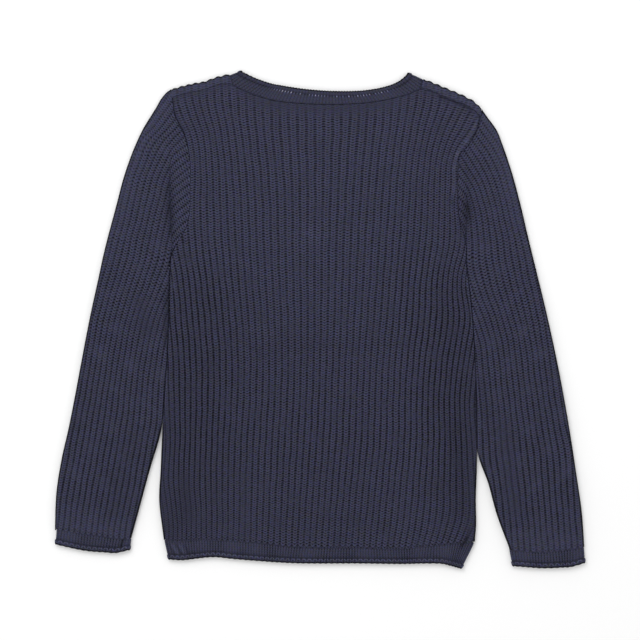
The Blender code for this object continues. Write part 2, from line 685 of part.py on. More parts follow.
def sleeve(side, rows, cap_edge, ribs, crease, fan, cuff):
    """A flattened tube from the armhole to the cuff: ribbed above, flat below, open at both ends."""
    mirror = -side
    column = "left" if side < 0 else "right"
    armhole = BODY[column + "_y"] >= BODY[column + "_y"][UNDERARM_ROW]
    tip = cap_edge["x"][0], cap_edge["y"][0]
    seam = np.column_stack([mirror * BODY[column][armhole], BODY[column + "_y"][armhole]])
    seam = np.concatenate([seam, [tip]])[::-1]
    seam[:, 0] -= SEAM_GAP / 2
    cap = np.column_stack([cap_edge["x"], cap_edge["y"]])
    courses = [sleeve_course(share, rows, cap, seam) for share in CAP_SHARES]
    for i in range(len(rows["outer"])):
        outer_end = (rows["outer"][i], rows["outer_y"][i])
        inner_end = (rows["inner"][i] - GROOVE_GAP, rows["inner_y"][i])
        courses.append(np.linspace(outer_end, inner_end, SAMPLES))
    cuff_x = mirror * cuff["seam_x"]
    order = np.argsort(cuff_x)
    last = courses[-1]
    inside = (last[:, 0] > cuff_x.min()) & (last[:, 0] < cuff_x.max())
    last[inside, 1] = np.interp(last[inside, 0], cuff_x[order], cuff["seam_y"][order])
    last[:, 1] += SEAM_GAP / 2

    wall = Wall()
    outer = []
    inner = []
    steps = EDGE_STEPS * SIDE_RADIUS
    for number, course in enumerate(courses):
        length = along(course)
        total = length[-1]
        corners = np.array([])
        if number == 0:
            corners = along(seam)[1:-1]
        if number == len(courses) - 1:
            corners = np.interp(cuff_x[order], course[:, 0], length)
        corners = corners[(corners > CORNER_MARGIN) & (corners < total - CORNER_MARGIN)]
        rib = sleeve_rib(course[:, 0], course[:, 1], ribs, crease, fan)
        rib = np.maximum.accumulate(rib + np.linspace(0.0, 1e-6, len(rib)))
        margin = SIDE_RADIUS + RIB_MARGIN
        numbers, raised = rib_points(*np.interp([margin, total - margin], length, rib))
        rib_lengths = np.interp(numbers, rib, length)
        apart = np.diff(rib_lengths, prepend=0.0, append=total)
        clear = np.minimum(apart[:-1], apart[1:]) > LEAST_STEP
        rib_lengths = rib_lengths[clear]
        raised = raised[clear]
        middle = with_breaks(rib_lengths, corners)
        lengths = np.concatenate([steps, middle, total - steps[::-1]])
        place = at_length(course, lengths)
        height = np.interp(lengths, rib_lengths, raised, left=0.0, right=0.0)
        rise = rounded(np.minimum(lengths, total - lengths), SIDE_RADIUS)
        z = FOLD_LEVEL + (UPPER_TOP - FOLD_LEVEL) * rise + RIB_HEIGHT * height
        z -= rise * crease_depth(place, crease)
        z -= rise * SEAM_DIP if number in (0, len(courses) - 1) else 0.0
        below = with_breaks(np.concatenate([steps[1:], total - steps[:0:-1]]), corners)[::-1]
        below_z = FOLD_LEVEL * (1.0 - rounded(np.minimum(below, total - below), SIDE_RADIUS))
        keys = np.concatenate([
            steps - EDGE_KEY,
            np.interp(middle, length, rib),
            EDGE_KEY - steps[::-1],
            EDGE_KEY * (2.0 - below / total),
        ])
        upper_points = np.column_stack([place, z])
        lower_points = np.column_stack([at_length(course, below), below_z])
        outer.append(wall.row(keys, np.concatenate([upper_points, lower_points]), ring=True))
        slot = with_breaks(np.linspace(WALL, total - WALL, SLOT_POINTS), corners)
        slot_keys = np.concatenate([np.interp(slot, length, rib), EDGE_KEY * (2.0 - slot[-2::-1] / total)])
        slot_keys[0] = -EDGE_KEY
        slot_keys[len(slot) - 1] = EDGE_KEY
        slot_keys = slot_keys[:-1]
        slot_z = np.concatenate([np.full(len(slot), UPPER_UNDERSIDE), np.full(len(slot) - 2, WALL)])
        slot_points = np.column_stack([at_length(course, np.concatenate([slot, slot[-2:0:-1]])), slot_z])
        inner.append(wall.row(slot_keys, slot_points, ring=True))
    wall.close(outer, inner, ring=True)
    wall.points = [(mirror * x, y, z) for x, y, z in wall.points]
    return wall


# Across a band, from its seam to its open edge and back inside: where the point lies, as a share of the
# plain band and as a share of the rolled edge, its height over the inside in the upper and in the lower
# layer, and what a rib adds to the height and to the reach.
BAND_PROFILE = columns(
    "plain roll upper lower rib scallop",
    (0.0, 0.00, 1.8, 2.0, 0.0, 0.0),
    (0.1, 0.00, 2.0, 2.4, 0.5, 0.0),
    (0.9, 0.00, 1.7, 2.4, 0.5, 0.0),
    (1.0, 0.15, 2.5, 2.4, 0.0, 0.0),
    (1.0, 0.55, 3.1, 2.4, 0.4, 0.0),
    (1.0, 0.90, 2.4, 1.9, 0.2, 0.5),
    (1.0, 1.00, 1.1, 1.1, 0.0, 0.4),
    (1.0, 0.90, 0.1, 0.1, 0.0, 0.0),
    (0.0, 0.00, 0.0, 0.0, 0.0, 0.0),
)


def band_section(seam, edge, turn, outward, raised):
    """One section across a band, lying on top at turn 0, upright at a fold and underneath at pi."""
    run = edge - seam
    width = np.hypot(*run)
    plain = width - BAND_ROLL - SEAM_GAP / 2
    reach = BAND_PROFILE["plain"] * plain + BAND_PROFILE["roll"] * BAND_ROLL + SEAM_GAP / 2
    reach = reach + BAND_PROFILE["scallop"] * raised
    share = (1.0 - np.cos(turn)) / 2.0
    height = BAND_PROFILE["upper"] * (1.0 - share) + BAND_PROFILE["lower"] * share
    height = height + BAND_PROFILE["rib"] * raised + SEAM_GAP / 2
    place = seam + reach[:, None] * run / width + (height * np.sin(turn))[:, None] * outward
    return np.column_stack([place, FOLD_LEVEL + height * np.cos(turn)])


def layer_sections(layer, turn, pitch):
    """The sections of one layer of a band, keyed by their share of its length, with two for each rib."""
    seams = np.column_stack([layer["seam_x"], layer["seam_y"]])
    edges = np.column_stack([layer["edge_x"], layer["edge_y"]])
    length = along(seams)
    places = length
    if pitch:
        halves = 2 * round(length[-1] / pitch)
        places = with_breaks(np.linspace(0.0, length[-1], halves + 1)[1:-1], length)
    sections = []
    for place in places:
        raised = 0.5 - 0.5 * np.cos(np.pi * place / length[-1] * halves) if pitch else 0.0
        raised = 0.0 if place in length[[0, -1]] else raised
        seam = at_length(seams, [place])[0]
        edge = np.array([np.interp(place, length, edges[:, axis]) for axis in (0, 1)])
        share = place / length[-1]
        sections.append((1.0 - share if turn else share, band_section(seam, edge, turn, np.zeros(2), raised)))
    return sections[::-1] if turn else sections


def fold_sections(layer, end, start_turn):
    """The sections round one fold of a band, keyed by their share of the fold."""
    other = -1 - end
    seam = np.array([layer["seam_x"][end], layer["seam_y"][end]])
    edge = np.array([layer["edge_x"][end], layer["edge_y"][end]])
    far = np.array([layer["seam_x"][other], layer["seam_y"][other]])
    run = (edge - seam) / np.hypot(*(edge - seam))
    outward = np.array([run[1], -run[0]])
    outward = outward * np.sign(outward @ (seam - far))
    turns = [abs(start_turn - share * np.pi) for share in FOLD_SHARES]
    return [(share, band_section(seam, edge, turn, outward, 0.0)) for share, turn in zip(FOLD_SHARES, turns)]


def folded_band(upper, lower, pitch):
    """A band worked in the round and pressed flat: its upper layer, a fold, its lower layer, a fold."""
    fine = layer_sections(upper, 0.0, pitch)
    plain = layer_sections(upper, 0.0, None)
    last_fold = [(1.0 + key, points) for key, points in fold_sections(upper, -1, 0.0)]
    under = [(2.0 + key, points) for key, points in layer_sections(lower, np.pi, None)]
    first_fold = [(3.0 + key, points) for key, points in fold_sections(upper, 0, np.pi)]
    wall = Wall()
    rows = []
    ribbed = (BAND_PROFILE["rib"] > 0) | (BAND_PROFILE["scallop"] > 0)
    for number, has_ribs in enumerate(ribbed):
        sections = (fine if has_ribs else plain) + last_fold + under + first_fold
        keys = [EDGE_KEY * (key - 2.0) / 2.0 for key, _ in sections]
        rows.append(wall.row(keys, [points[number] for _, points in sections], ring=True))
    for first, second in zip(rows, rows[1:] + rows[:1]):
        wall.band(first, second)
    return wall


def neckband():
    """The neckband: a shallow curve on the back and a deeper one on the front."""
    seam, edge = front_neck(NECK_SECTIONS)
    lower = {"seam_x": seam[:, 0], "seam_y": seam[:, 1], "edge_x": edge[:, 0], "edge_y": edge[:, 1]}
    return folded_band(NECK_BACK, lower, NECK_RIB)


def main():
    """Clears the scene and makes the sweater, with the origin under the middle of its box."""
    for old in list(bpy.data.objects):
        bpy.data.objects.remove(old)
    collection = bpy.data.collections.new("rib_knit_sweater")
    bpy.context.scene.collection.children.link(collection)
    pieces = (
        ("back_panel", NAVY, back_panel()),
        ("front_panel", NAVY, front_panel()),
        ("sleeve_left", NAVY,
         sleeve(-1, LEFT_SLEEVE_ROWS, LEFT_CAP_EDGE, LEFT_RIBS, LEFT_CREASE, LEFT_FAN, LEFT_CUFF)),
        ("sleeve_right", NAVY,
         sleeve(1, RIGHT_SLEEVE_ROWS, RIGHT_CAP_EDGE, RIGHT_RIBS, RIGHT_CREASE, RIGHT_FAN, RIGHT_CUFF)),
        ("neckband", NAVY_NECK, neckband()),
        ("hem", NAVY_BAND, folded_band(HEM, HEM, HEM_RIB)),
        ("cuff_left", NAVY_BAND, folded_band(LEFT_CUFF, LEFT_CUFF, CUFF_RIB)),
        ("cuff_right", NAVY_BAND, folded_band(RIGHT_CUFF, RIGHT_CUFF, CUFF_RIB)),
    )
    points = np.concatenate([wall.points for _, _, wall in pieces])
    low = points.min(axis=0)
    high = points.max(axis=0)
    centre = np.array([(low[0] + high[0]) / 2, (low[1] + high[1]) / 2, low[2]])
    for name, colour, wall in pieces:
        wall.make(name, colour, centre, collection)


main()
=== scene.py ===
# %% [markdown]
# # A rib knit sweater, laid flat
#
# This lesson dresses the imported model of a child's sweater. The real one is knitted in a thick navy cotton
# rib and lies on its front, so that the back shows, with its sleeves beside it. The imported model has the
# right outlines and layers but few facets, so each of its eight knitted pieces is replaced here by a finer
# surface, with every rib and every row of stitches in it.
#
# All tables are in millimetres as seen from above: x runs to the right, y towards the neck, z up from the
# floor.

import bmesh
import bpy
import numpy as np
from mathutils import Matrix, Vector


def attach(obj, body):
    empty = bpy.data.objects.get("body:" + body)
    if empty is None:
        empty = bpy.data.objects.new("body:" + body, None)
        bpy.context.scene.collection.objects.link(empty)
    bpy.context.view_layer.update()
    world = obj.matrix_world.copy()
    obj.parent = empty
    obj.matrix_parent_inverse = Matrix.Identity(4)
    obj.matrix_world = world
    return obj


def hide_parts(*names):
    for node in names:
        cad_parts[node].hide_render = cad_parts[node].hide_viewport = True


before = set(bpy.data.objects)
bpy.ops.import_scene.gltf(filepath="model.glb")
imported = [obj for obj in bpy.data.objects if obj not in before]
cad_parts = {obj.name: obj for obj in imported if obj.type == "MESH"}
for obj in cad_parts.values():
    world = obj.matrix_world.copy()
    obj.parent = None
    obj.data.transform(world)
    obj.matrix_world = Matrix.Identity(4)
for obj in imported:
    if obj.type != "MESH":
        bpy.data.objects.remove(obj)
bpy.context.view_layer.update()

# %% [markdown]
# ## The camera
#
# The sweater was photographed straight from above, and one pixel of the photograph is about a millimetre of
# cloth. A short lens close by would look past the middle at the sleeves' sides. So the camera has a long
# lens, and hangs at the height where its picture is 640 mm wide.

# %% Camera
MM = 0.001
BOX_MIDDLE = np.array([0.1613, 0.4723, 0.0])  # where the middle of the sweater's box is in the tables
PICTURE_WIDTH = 640.0
CLOTH_LEVEL = 5.5
LENS = 100.0
SENSOR = 36.0


def place_camera():
    """Straight down, at the height where the lens takes in the picture's width: width x lens / sensor."""
    camera = bpy.data.objects.new("camera", bpy.data.cameras.new("camera"))
    bpy.context.scene.collection.objects.link(camera)
    camera.data.lens = LENS
    camera.data.sensor_width = SENSOR
    height = CLOTH_LEVEL + PICTURE_WIDTH * LENS / SENSOR
    camera.location = (np.array([0.0, 0.0, height]) - BOX_MIDDLE) * MM
    bpy.context.scene.camera = camera
    print("camera height:", round(height), "mm")


place_camera()

# %% [markdown]
# ## The light
#
# Clothes are photographed in a white room under large soft lamps. The white surround alone would leave the
# ribs flat, and a small lamp would draw hard shadows. One large lamp beyond the neck, beside an even
# surround, gives each rib a lit and a shaded side, as in the photograph.

# %% Room and lamp
ROOM_LIGHT = 0.9
LAMP_PLACE = (-0.7, 1.3, 1.6)
LAMP_SIZE = 1.2
LAMP_WATTS = 17.0


def light_the_room():
    """An even white surround, and a square lamp that faces the middle of the sweater."""
    world = bpy.data.worlds.new("white room")
    world.use_nodes = True
    surround = world.node_tree.nodes["Background"]
    surround.inputs["Color"].default_value = (1.0, 1.0, 1.0, 1.0)
    surround.inputs["Strength"].default_value = ROOM_LIGHT
    bpy.context.scene.world = world
    lamp = bpy.data.objects.new("soft lamp", bpy.data.lights.new("soft lamp", "AREA"))
    lamp.data.size = LAMP_SIZE
    lamp.data.energy = LAMP_WATTS
    lamp.location = LAMP_PLACE
    lamp.rotation_mode = "QUATERNION"
    lamp.rotation_quaternion = (-Vector(LAMP_PLACE)).to_track_quat("-Z", "Y")
    bpy.context.scene.collection.objects.link(lamp)
    bpy.context.scene.view_settings.view_transform = "Standard"
    print(f"lamp: {LAMP_WATTS:.0f} W, {LAMP_SIZE} m wide, {np.linalg.norm(LAMP_PLACE):.1f} m away")


light_the_room()

# %% [markdown]
# ## Tables and curves
#
# Every outline and rib line is a short table of sizes. A table could be joined by straight lines, but cloth
# bends smoothly, so `curve` joins its points with cubic pieces whose slope at a point is that of its
# neighbours.

# %% Tables read as smooth curves
def columns(names, *rows):
    """A table as a dictionary of named columns."""
    return dict(zip(names.split(), np.array(rows, float).T))


def curve(table, at, value, where):
    """A column read against another: (2t3-3t2+1)a + (t3-2t2+t)hA + (-2t3+3t2)b + (t3-t2)hB on each piece."""
    order = np.argsort(table[at])
    x = table[at][order]
    y = table[value][order]
    slope = np.gradient(y, x)
    piece = np.clip(np.searchsorted(x, where) - 1, 0, len(x) - 2)
    h = x[piece + 1] - x[piece]
    t = np.clip((where - x[piece]) / h, 0.0, 1.0)
    start = (2 * t**3 - 3 * t**2 + 1) * y[piece] + (t**3 - 2 * t**2 + t) * h * slope[piece]
    return start + (3 * t**2 - 2 * t**3) * y[piece + 1] + (t**3 - t**2) * h * slope[piece + 1]


hill = columns("x y", (0.0, 0.0), (1.0, 1.0), (2.0, 0.0))
print("a hill of three points, halfway up:", curve(hill, "x", "y", 0.5))

# %% [markdown]
# ## Smooth steps, round edges and lengths
#
# Cloth hardly ever starts or stops at a line. A seam's dip, a fold's end and a dark rim all fade, so one
# smooth step serves them all. It may also run downwards: with a high value first and a low one second it is
# 1 below.

# %% Steps, round edges and lengths
def ease(value, low, high):
    """0 at low, 1 at high and smooth between: 3t2 - 2t3."""
    t = np.clip((value - low) / (high - low), 0.0, 1.0)
    return t * t * (3.0 - 2.0 * t)


def rounded(distance, radius):
    """The height share on a quarter circle: the root of 1 - (1 - distance / radius) squared."""
    near = np.clip(1.0 - distance / radius, 0.0, 1.0)
    return np.sqrt(1.0 - near**2)


def along(points):
    """The length along a line of points, at each of them."""
    return np.concatenate([[0.0], np.cumsum(np.linalg.norm(np.diff(points, axis=0), axis=1))])


print("a round edge of radius 4, at 0, 1, 2 and 4 from its side:", rounded(np.array([0, 1, 2, 4]), 4.0))

# %% [markdown]
# ## One closed cloth
#
# A knitted panel has a shown side with hundreds of thousands of details and a plain side that nobody sees.
# Both could be dense grids, but that wastes half of the triangles. Here the shown side is a dense grid, the
# plain side a coarse one, and strips of many-sided faces join eight short edges of the first to one long
# edge of the second. Points in the same place are merged at the end, so a row or a column that is pressed
# on to an edge vanishes.

# %% A builder for closed cloth
STEP = 8  # short edges of a dense grid beside one long edge of a coarse one
MERGE = 2e-6
SHARP = np.radians(75.0)


class Cloth:
    """Grids and strips of points, each with a rib and a row number and its look, made into one mesh."""

    def __init__(self):
        self.points = []
        self.marks = []
        self.faces = []
        self.count = 0

    def grid(self, points, rib=0.0, row=0.0, shade=1.0, run=0.0, soft=0.0):
        """Adds a grid of points and gives back the grid of their numbers.

        The look of a point is its painted shade, how far the holes of a valley run together, and how soft
        its stitches are.
        """
        shape = points.shape[:2]
        marks = np.stack([np.broadcast_to(mark, shape) for mark in (rib, row, shade, run, soft)], axis=-1)
        self.points.append(points.reshape(-1, 3))
        self.marks.append(marks.reshape(-1, 5))
        numbers = self.count + np.arange(shape[0] * shape[1]).reshape(shape)
        self.count += numbers.size
        self.fill(numbers)
        return numbers

    def fill(self, numbers):
        """A four-sided face between each four neighbours of a grid."""
        corners = (numbers[:-1, :-1], numbers[:-1, 1:], numbers[1:, 1:], numbers[1:, :-1])
        self.faces += np.stack(corners, axis=-1).reshape(-1, 4).tolist()

    def strip(self, dense, coarse):
        """Faces between a line of many points and a line with one point for every STEP of them."""
        first = np.arange(len(coarse) - 1)[:, None] * STEP
        many = dense[first + np.arange(STEP + 1)]
        self.faces += np.concatenate([many, coarse[1:, None], coarse[:-1, None]], axis=1).tolist()

    def ladder(self, one, other):
        """Four-sided faces between two lines with the same number of points."""
        self.fill(np.stack([one, other]))

    def make(self, name, material):
        """The mesh in metres, with its rib and row numbers as a UV map, and its look as an attribute."""
        points = np.concatenate(self.points)
        marks = np.concatenate(self.marks)
        mesh = bpy.data.meshes.new(name)
        mesh.from_pydata((points - BOX_MIDDLE) * MM, [], self.faces)
        corner = np.empty(len(mesh.loops), int)
        mesh.loops.foreach_get("vertex_index", corner)
        mesh.uv_layers.new(name="knit").data.foreach_set("uv", marks[corner, :2].ravel())
        mesh.attributes.new("look", "FLOAT_VECTOR", "POINT").data.foreach_set("vector", marks[:, 2:].ravel())
        surface = bmesh.new()
        surface.from_mesh(mesh)
        bmesh.ops.remove_doubles(surface, verts=surface.verts, dist=MERGE)
        bmesh.ops.recalc_face_normals(surface, faces=surface.faces)
        if surface.calc_volume(signed=True) < 0:
            bmesh.ops.reverse_faces(surface, faces=surface.faces)
        open_edges = sum(1 for edge in surface.edges if len(edge.link_faces) != 2)
        surface.to_mesh(mesh)
        surface.free()
        mesh.shade_smooth()
        mesh.set_sharp_from_angle(angle=SHARP)
        mesh.materials.append(material)
        made = bpy.data.objects.new(name, mesh)
        bpy.context.scene.collection.objects.link(made)
        mesh.calc_loop_triangles()
        print(f"{name}: {len(mesh.loop_triangles)} triangles, {open_edges} edges that do not join two faces")
        return made


# %% [markdown]
# ## The knit itself
#
# A rib is one column of knit stitches that stands up between two low ones. Along its middle runs a line of
# small holes, one for each row, and along the valleys beside it a line of larger ones, half a row lower.
# Between them the two legs of every stitch lean outwards like a V. Yarn for each stitch would take millions
# of faces. But the whole cloth is known from two numbers: the rib number, which is whole in the valleys,
# and the row number, which is whole at the valley's holes. So the surface and its material are both worked
# out from these.

# %% Relief of one stitch
TURN = 2 * np.pi
RIB_HEIGHT = 1.25
RIB_ROUNDNESS = 0.7  # below 1 a rib is rounder and its valley sharper than a wave's
VALLEY_HOLE = 0.35
MIDDLE_HOLE = 0.3


def crest(rib):
    """0 in the valleys and 1 on the middle of each rib: half of 1 - cos of the rib number, in whole turns."""
    return (1.0 - np.cos(TURN * rib)) / 2.0


def relief(rib, row, holes=1.0):
    """Height = rib height x crest to a power - hole depth, where cos rib x cos row is near 1."""
    across = np.cos(TURN * rib)
    hole = ease(across * np.cos(TURN * row), 0.0, 1.0)
    depth = np.where(across > 0.0, VALLEY_HOLE, MIDDLE_HOLE)
    return RIB_HEIGHT * crest(rib) ** RIB_ROUNDNESS - depth * hole * holes


print("height in a valley's hole, on a flank and between two holes of a rib:",
      np.round(relief(np.array([0.0, 0.25, 0.5]), 0.0), 2), "mm")

# %% [markdown]
# ## Colours and nodes
#
# Colours are picked as sRGB hex values, as in a paint box, but light adds up linearly, so one function
# turns them into linear light. A second one adds a shader node with its settings and its links in one line.

# %% Colours and the node helper
def linear(hex_colour):
    """An sRGB hex colour as linear light: ((c + 0.055) / 1.055) to the power 2.4, or c / 12.92 when dark."""
    c = np.array([int(hex_colour[i : i + 2], 16) / 255 for i in (1, 3, 5)])
    return (*np.where(c <= 0.04045, c / 12.92, ((c + 0.055) / 1.055) ** 2.4), 1.0)


def add(material, kind, inputs=None, **settings):
    """Adds a shader node and gives back its outputs. inputs: a number, a colour or an output per socket."""
    tree = material.node_tree
    node = tree.nodes.new("ShaderNode" + kind)
    for name, value in settings.items():
        setattr(node, name, value)
    for socket, value in (inputs or {}).items():
        if isinstance(value, bpy.types.NodeSocket):
            tree.links.new(value, node.inputs[socket])
        else:
            node.inputs[socket].default_value = value
    return node.outputs


def new_material(name):
    """An empty material and its surface shader."""
    material = bpy.data.materials.new(name)
    material.use_nodes = True
    print("material:", name)
    return material, material.node_tree.nodes["Principled BSDF"]


# %% [markdown]
# ## The pattern of the stitches
#
# The yarn's colour is even. What the eye sees is the light on the legs of the stitches and the shade in the
# holes between them, so that shade is painted into the colour. A picture of knitting would repeat and slide
# over the ribs. So the rib and row numbers that shape the cloth, kept in its UV map, also place the pattern
# of painted shade: dots in the holes, a groove along each valley and thin lines between the legs, which
# lean outwards from the middle of the rib.

# %% Dots, grooves and lines
DOT = {1: 0.0, 2: 0.75}  # From sockets: cos rib x cos row, from a hole's edge to inside it
VALLEY = {1: -0.1, 2: 0.6, 3: 0.0}  # cos rib, from a valley's edge to inside it
MIDDLE = {1: -0.35, 2: -0.9, 3: 0.0}  # and from a rib's flank to its middle
GROOVE_WIDTH = {1: 0.1, 2: 1.0, 3: 0.0}
RUN_LOSES = 0.2  # where the holes of a valley run together, the dots lose this share
RUN_ADDS = 1.3  # and the groove gains this much


def stitch_pattern(material, run, valley_dark, middle_dark, line_dark, groove_dark):
    """Painted shade = dots x (1 - loss) + groove x (1 + gain) + lines, from 0 on a leg to 1 in a hole."""
    knit = add(material, "UVMap", uv_map="knit")["UV"]
    turned = add(material, "VectorMath", {0: knit, 1: (TURN, TURN, TURN)}, operation="MULTIPLY")[0]
    waves = add(material, "VectorMath", {0: turned}, operation="COSINE")[0]
    waves = add(material, "SeparateXYZ", {0: waves})
    numbers = add(material, "SeparateXYZ", {0: knit})
    across = waves["X"]
    checks = add(material, "Math", {0: across, 1: waves["Y"]}, operation="MULTIPLY")[0]
    dots = add(material, "MapRange", {0: checks, **DOT}, interpolation_type="SMOOTHSTEP")[0]
    in_valley = add(material, "MapRange", {0: across, **VALLEY, 4: valley_dark})[0]
    in_middle = add(material, "MapRange", {0: across, **MIDDLE, 4: middle_dark})[0]
    strength = add(material, "Math", {0: in_valley, 1: in_middle}, operation="MAXIMUM")[0]
    dots = add(material, "Math", {0: dots, 1: strength}, operation="MULTIPLY")[0]
    groove = add(material, "MapRange", {0: across, **GROOVE_WIDTH, 4: groove_dark},
                 interpolation_type="SMOOTHSTEP")[0]
    fewer = add(material, "Math", {0: run, 1: -RUN_LOSES, 2: 1.0}, operation="MULTIPLY_ADD")[0]
    more = add(material, "Math", {0: run, 1: RUN_ADDS, 2: 1.0}, operation="MULTIPLY_ADD")[0]
    groove = add(material, "Math", {0: groove, 1: more}, operation="MULTIPLY")[0]
    lean = add(material, "Math", {0: numbers["X"], 1: 0.5}, operation="PINGPONG")[0]
    lean = add(material, "Math", {0: lean, 1: numbers["Y"]}, operation="ADD")[0]
    lean = add(material, "Math", {0: lean, 1: TURN}, operation="MULTIPLY")[0]
    legs = add(material, "Math", {0: lean}, operation="COSINE")[0]
    lines = add(material, "MapRange", {0: legs, 1: 0.0, 2: 1.0, 3: 0.0, 4: line_dark})[0]
    dark = add(material, "Math", {0: dots, 1: fewer, 2: groove}, operation="MULTIPLY_ADD")[0]
    return add(material, "Math", {0: dark, 1: lines}, operation="ADD", use_clamp=True)[0]


# %% [markdown]
# ## Cotton yarn
#
# The yarn looks like a soft cotton, dyed navy, and has no gloss. It is never quite even: some stitches are
# pulled tighter than others, single yarns took the dye a little redder or bluer, and the light varies in
# soft patches. A painted picture could hold all that, but it would repeat. So each is a noise over the
# pattern, with a size of its own in millimetres.

# %% Knitted cotton
BUMP_DEPTH = 0.35 * MM
COTTON_ROUGHNESS = 0.95
COTTON_SPECULAR = 0.15
TIGHT_SIZE = 2.4  # mm, stitches this far apart are pulled tighter or looser than each other
TIGHT = {1: 0.3, 2: 0.7, 3: 1.35, 4: 0.75}  # the noise, and how many times as dark it makes a hole
CLOUD_SIZE = 12.0  # mm, the soft patches where the dye and the light vary
CLOUD = {1: 0.3, 2: 0.7, 3: 0.95, 4: 1.05}  # the noise, and how many times as light it makes the yarn
FLECK_SIZE = 1.8  # mm, single yarns
FLECK_SPAN = np.array([0.6, 0.6, 1.3])  # how far red, green and blue stray from fleck to fleck
PALE_FROM = {1: 3.0, 2: 8.0}  # a stitch this many times lighter than its neighbours turns pale grey
PALE_GREY = linear("#c9c8c6")


def cotton_knit(name, leg, hole, valley_dark, middle_dark, line_dark, groove_dark):
    """Rib knit from dyed cotton yarn: matt, yarn colour on the legs, painted shade in holes and valleys."""
    material, shader = new_material(name)
    look = add(material, "Attribute", attribute_name="look")["Vector"]
    shade, run, soft = add(material, "SeparateXYZ", {0: look})
    dark = stitch_pattern(material, run, valley_dark, middle_dark, line_dark, groove_dark)
    place = add(material, "TexCoord")["Object"]
    tight = add(material, "TexNoise", {"Vector": place, "Scale": 1 / (TIGHT_SIZE * MM), "Detail": 1.0})[0]
    tight = add(material, "MapRange", {0: tight, **TIGHT})[0]
    crisp = add(material, "Math", {0: 1.0, 1: soft}, operation="SUBTRACT")[0]
    crisp = add(material, "Math", {0: crisp, 1: tight}, operation="MULTIPLY")[0]
    dark = add(material, "Math", {0: dark, 1: crisp}, operation="MULTIPLY", use_clamp=True)[0]
    cloud = add(material, "TexNoise", {"Vector": place, "Scale": 1 / (CLOUD_SIZE * MM), "Detail": 2.0})[0]
    cloud = add(material, "MapRange", {0: cloud, **CLOUD})[0]
    # The shade kept in each point's look is painted shade and light; the cloud adds soft patches of dye and
    # light.
    level = add(material, "Math", {0: cloud, 1: shade}, operation="MULTIPLY")[0]
    fleck = add(material, "TexNoise", {"Vector": place, "Scale": 1 / (FLECK_SIZE * MM), "Detail": 1.0})
    fleck = add(material, "VectorMath", {0: fleck["Color"], 1: FLECK_SPAN, 2: 1.0 - FLECK_SPAN / 2},
                operation="MULTIPLY_ADD")[0]
    # The holes' colour is painted shade, mixed in where the pattern is dark.
    colour = add(material, "Mix", {0: dark, 6: linear(leg), 7: linear(hole)}, data_type="RGBA")[2]
    colour = add(material, "VectorMath", {0: colour, 1: fleck}, operation="MULTIPLY")[0]
    colour = add(material, "VectorMath", {0: colour, "Scale": level}, operation="SCALE")[0]
    paleness = add(material, "MapRange", {0: shade, **PALE_FROM})[0]
    colour = add(material, "Mix", {0: paleness, 6: colour, 7: PALE_GREY}, data_type="RGBA")[2]
    bump = add(material, "Bump", {"Height": dark, "Strength": 1.0, "Distance": BUMP_DEPTH}, invert=True)
    material.node_tree.links.new(colour, shader.inputs["Base Color"])
    material.node_tree.links.new(bump[0], shader.inputs["Normal"])
    shader.inputs["Roughness"].default_value = COTTON_ROUGHNESS
    shader.inputs["Specular IOR Level"].default_value = COTTON_SPECULAR
    return material


# %% [markdown]
# ## Three gauges of knit
#
# Panels, bands and neckband are the same yarn in three gauges. Each has the colour of its legs and the
# painted shade of its holes, and then how dark a valley's hole, a hole on a rib, the line between two legs
# and the groove of a valley are painted. The finer the gauge, the smaller its holes and the deeper its
# grooves.

# %% The three knits
RIB_KNIT = cotton_knit("body_rib cotton knit", "#3c3d52", "#090910", 0.8, 0.55, 0.45, 0.30)
BAND_KNIT = cotton_knit("band_rib cotton knit", "#38394c", "#0a0a11", 0.6, 0.2, 0.35, 0.6)
NECK_KNIT = cotton_knit("neck_rib cotton knit", "#353648", "#0a0a11", 0.5, 0.2, 0.3, 0.6)

# %% [markdown]
# ## The floor
#
# The sweater lies on a sheet of coated white card, as in a studio. The card is smooth and matt, and gives
# back a faint tooth at most. A wide plain sheet is enough, since the room's light makes it even.

# %% White card and floor
FLOOR_SIZE = 8.0
CARD_ROUGHNESS = 0.8
TOOTH_SCALE = 900.0  # about a millimetre, coarser than real card, whose tooth would not show
TOOTH_DEPTH = 0.05 * MM
TOOTH_STRENGTH = 0.05


def white_card(name):
    """Coated white card: smooth and matt, with a faint tooth from its making."""
    material, shader = new_material(name)
    place = add(material, "TexCoord")["Object"]
    tooth = add(material, "TexNoise", {"Vector": place, "Scale": TOOTH_SCALE})[0]
    bump = add(material, "Bump", {"Height": tooth, "Strength": TOOTH_STRENGTH, "Distance": TOOTH_DEPTH})
    shader.inputs["Base Color"].default_value = linear("#f6f6f6")
    shader.inputs["Roughness"].default_value = CARD_ROUGHNESS
    material.node_tree.links.new(bump[0], shader.inputs["Normal"])
    return material


def lay_floor(material):
    """A square sheet of white card under the sweater: four corners at half its size from the middle."""
    mesh = bpy.data.meshes.new("floor")
    half = FLOOR_SIZE / 2
    corners = [(-half, -half, 0), (half, -half, 0), (half, half, 0), (-half, half, 0)]
    mesh.from_pydata(corners, [], [(0, 1, 2, 3)])
    floor = bpy.data.objects.new("floor", mesh)
    mesh.materials.append(material)
    bpy.context.scene.collection.objects.link(floor)


lay_floor(white_card("floor card"))

# %% [markdown]
# ## The layers
#
# The garment lies in two layers. Without its ribs the lower one is 2.4 mm thick and the upper one 2.9 mm.
# The heights are those of the model, so that every panel keeps its place on the one below. At a seam the
# cloth is pulled down a little.

# %% Heights of the layers
WALL = 2.4
SEAM_GAP = 0.3
FOLD_LEVEL = WALL + SEAM_GAP / 2
UPPER_UNDERSIDE = WALL + SEAM_GAP
UPPER_TOP = 5.6
SEAM_DIP = 0.8
SIDE_RADIUS = 4.5
EDGE_STEPS = np.array([0.0, 0.12, 0.3, 0.5, 1.0])  # the points of a rounded side, as shares of its radius
print("the upper layer lies from", UPPER_UNDERSIDE, "to", UPPER_TOP + RIB_HEIGHT, "mm")
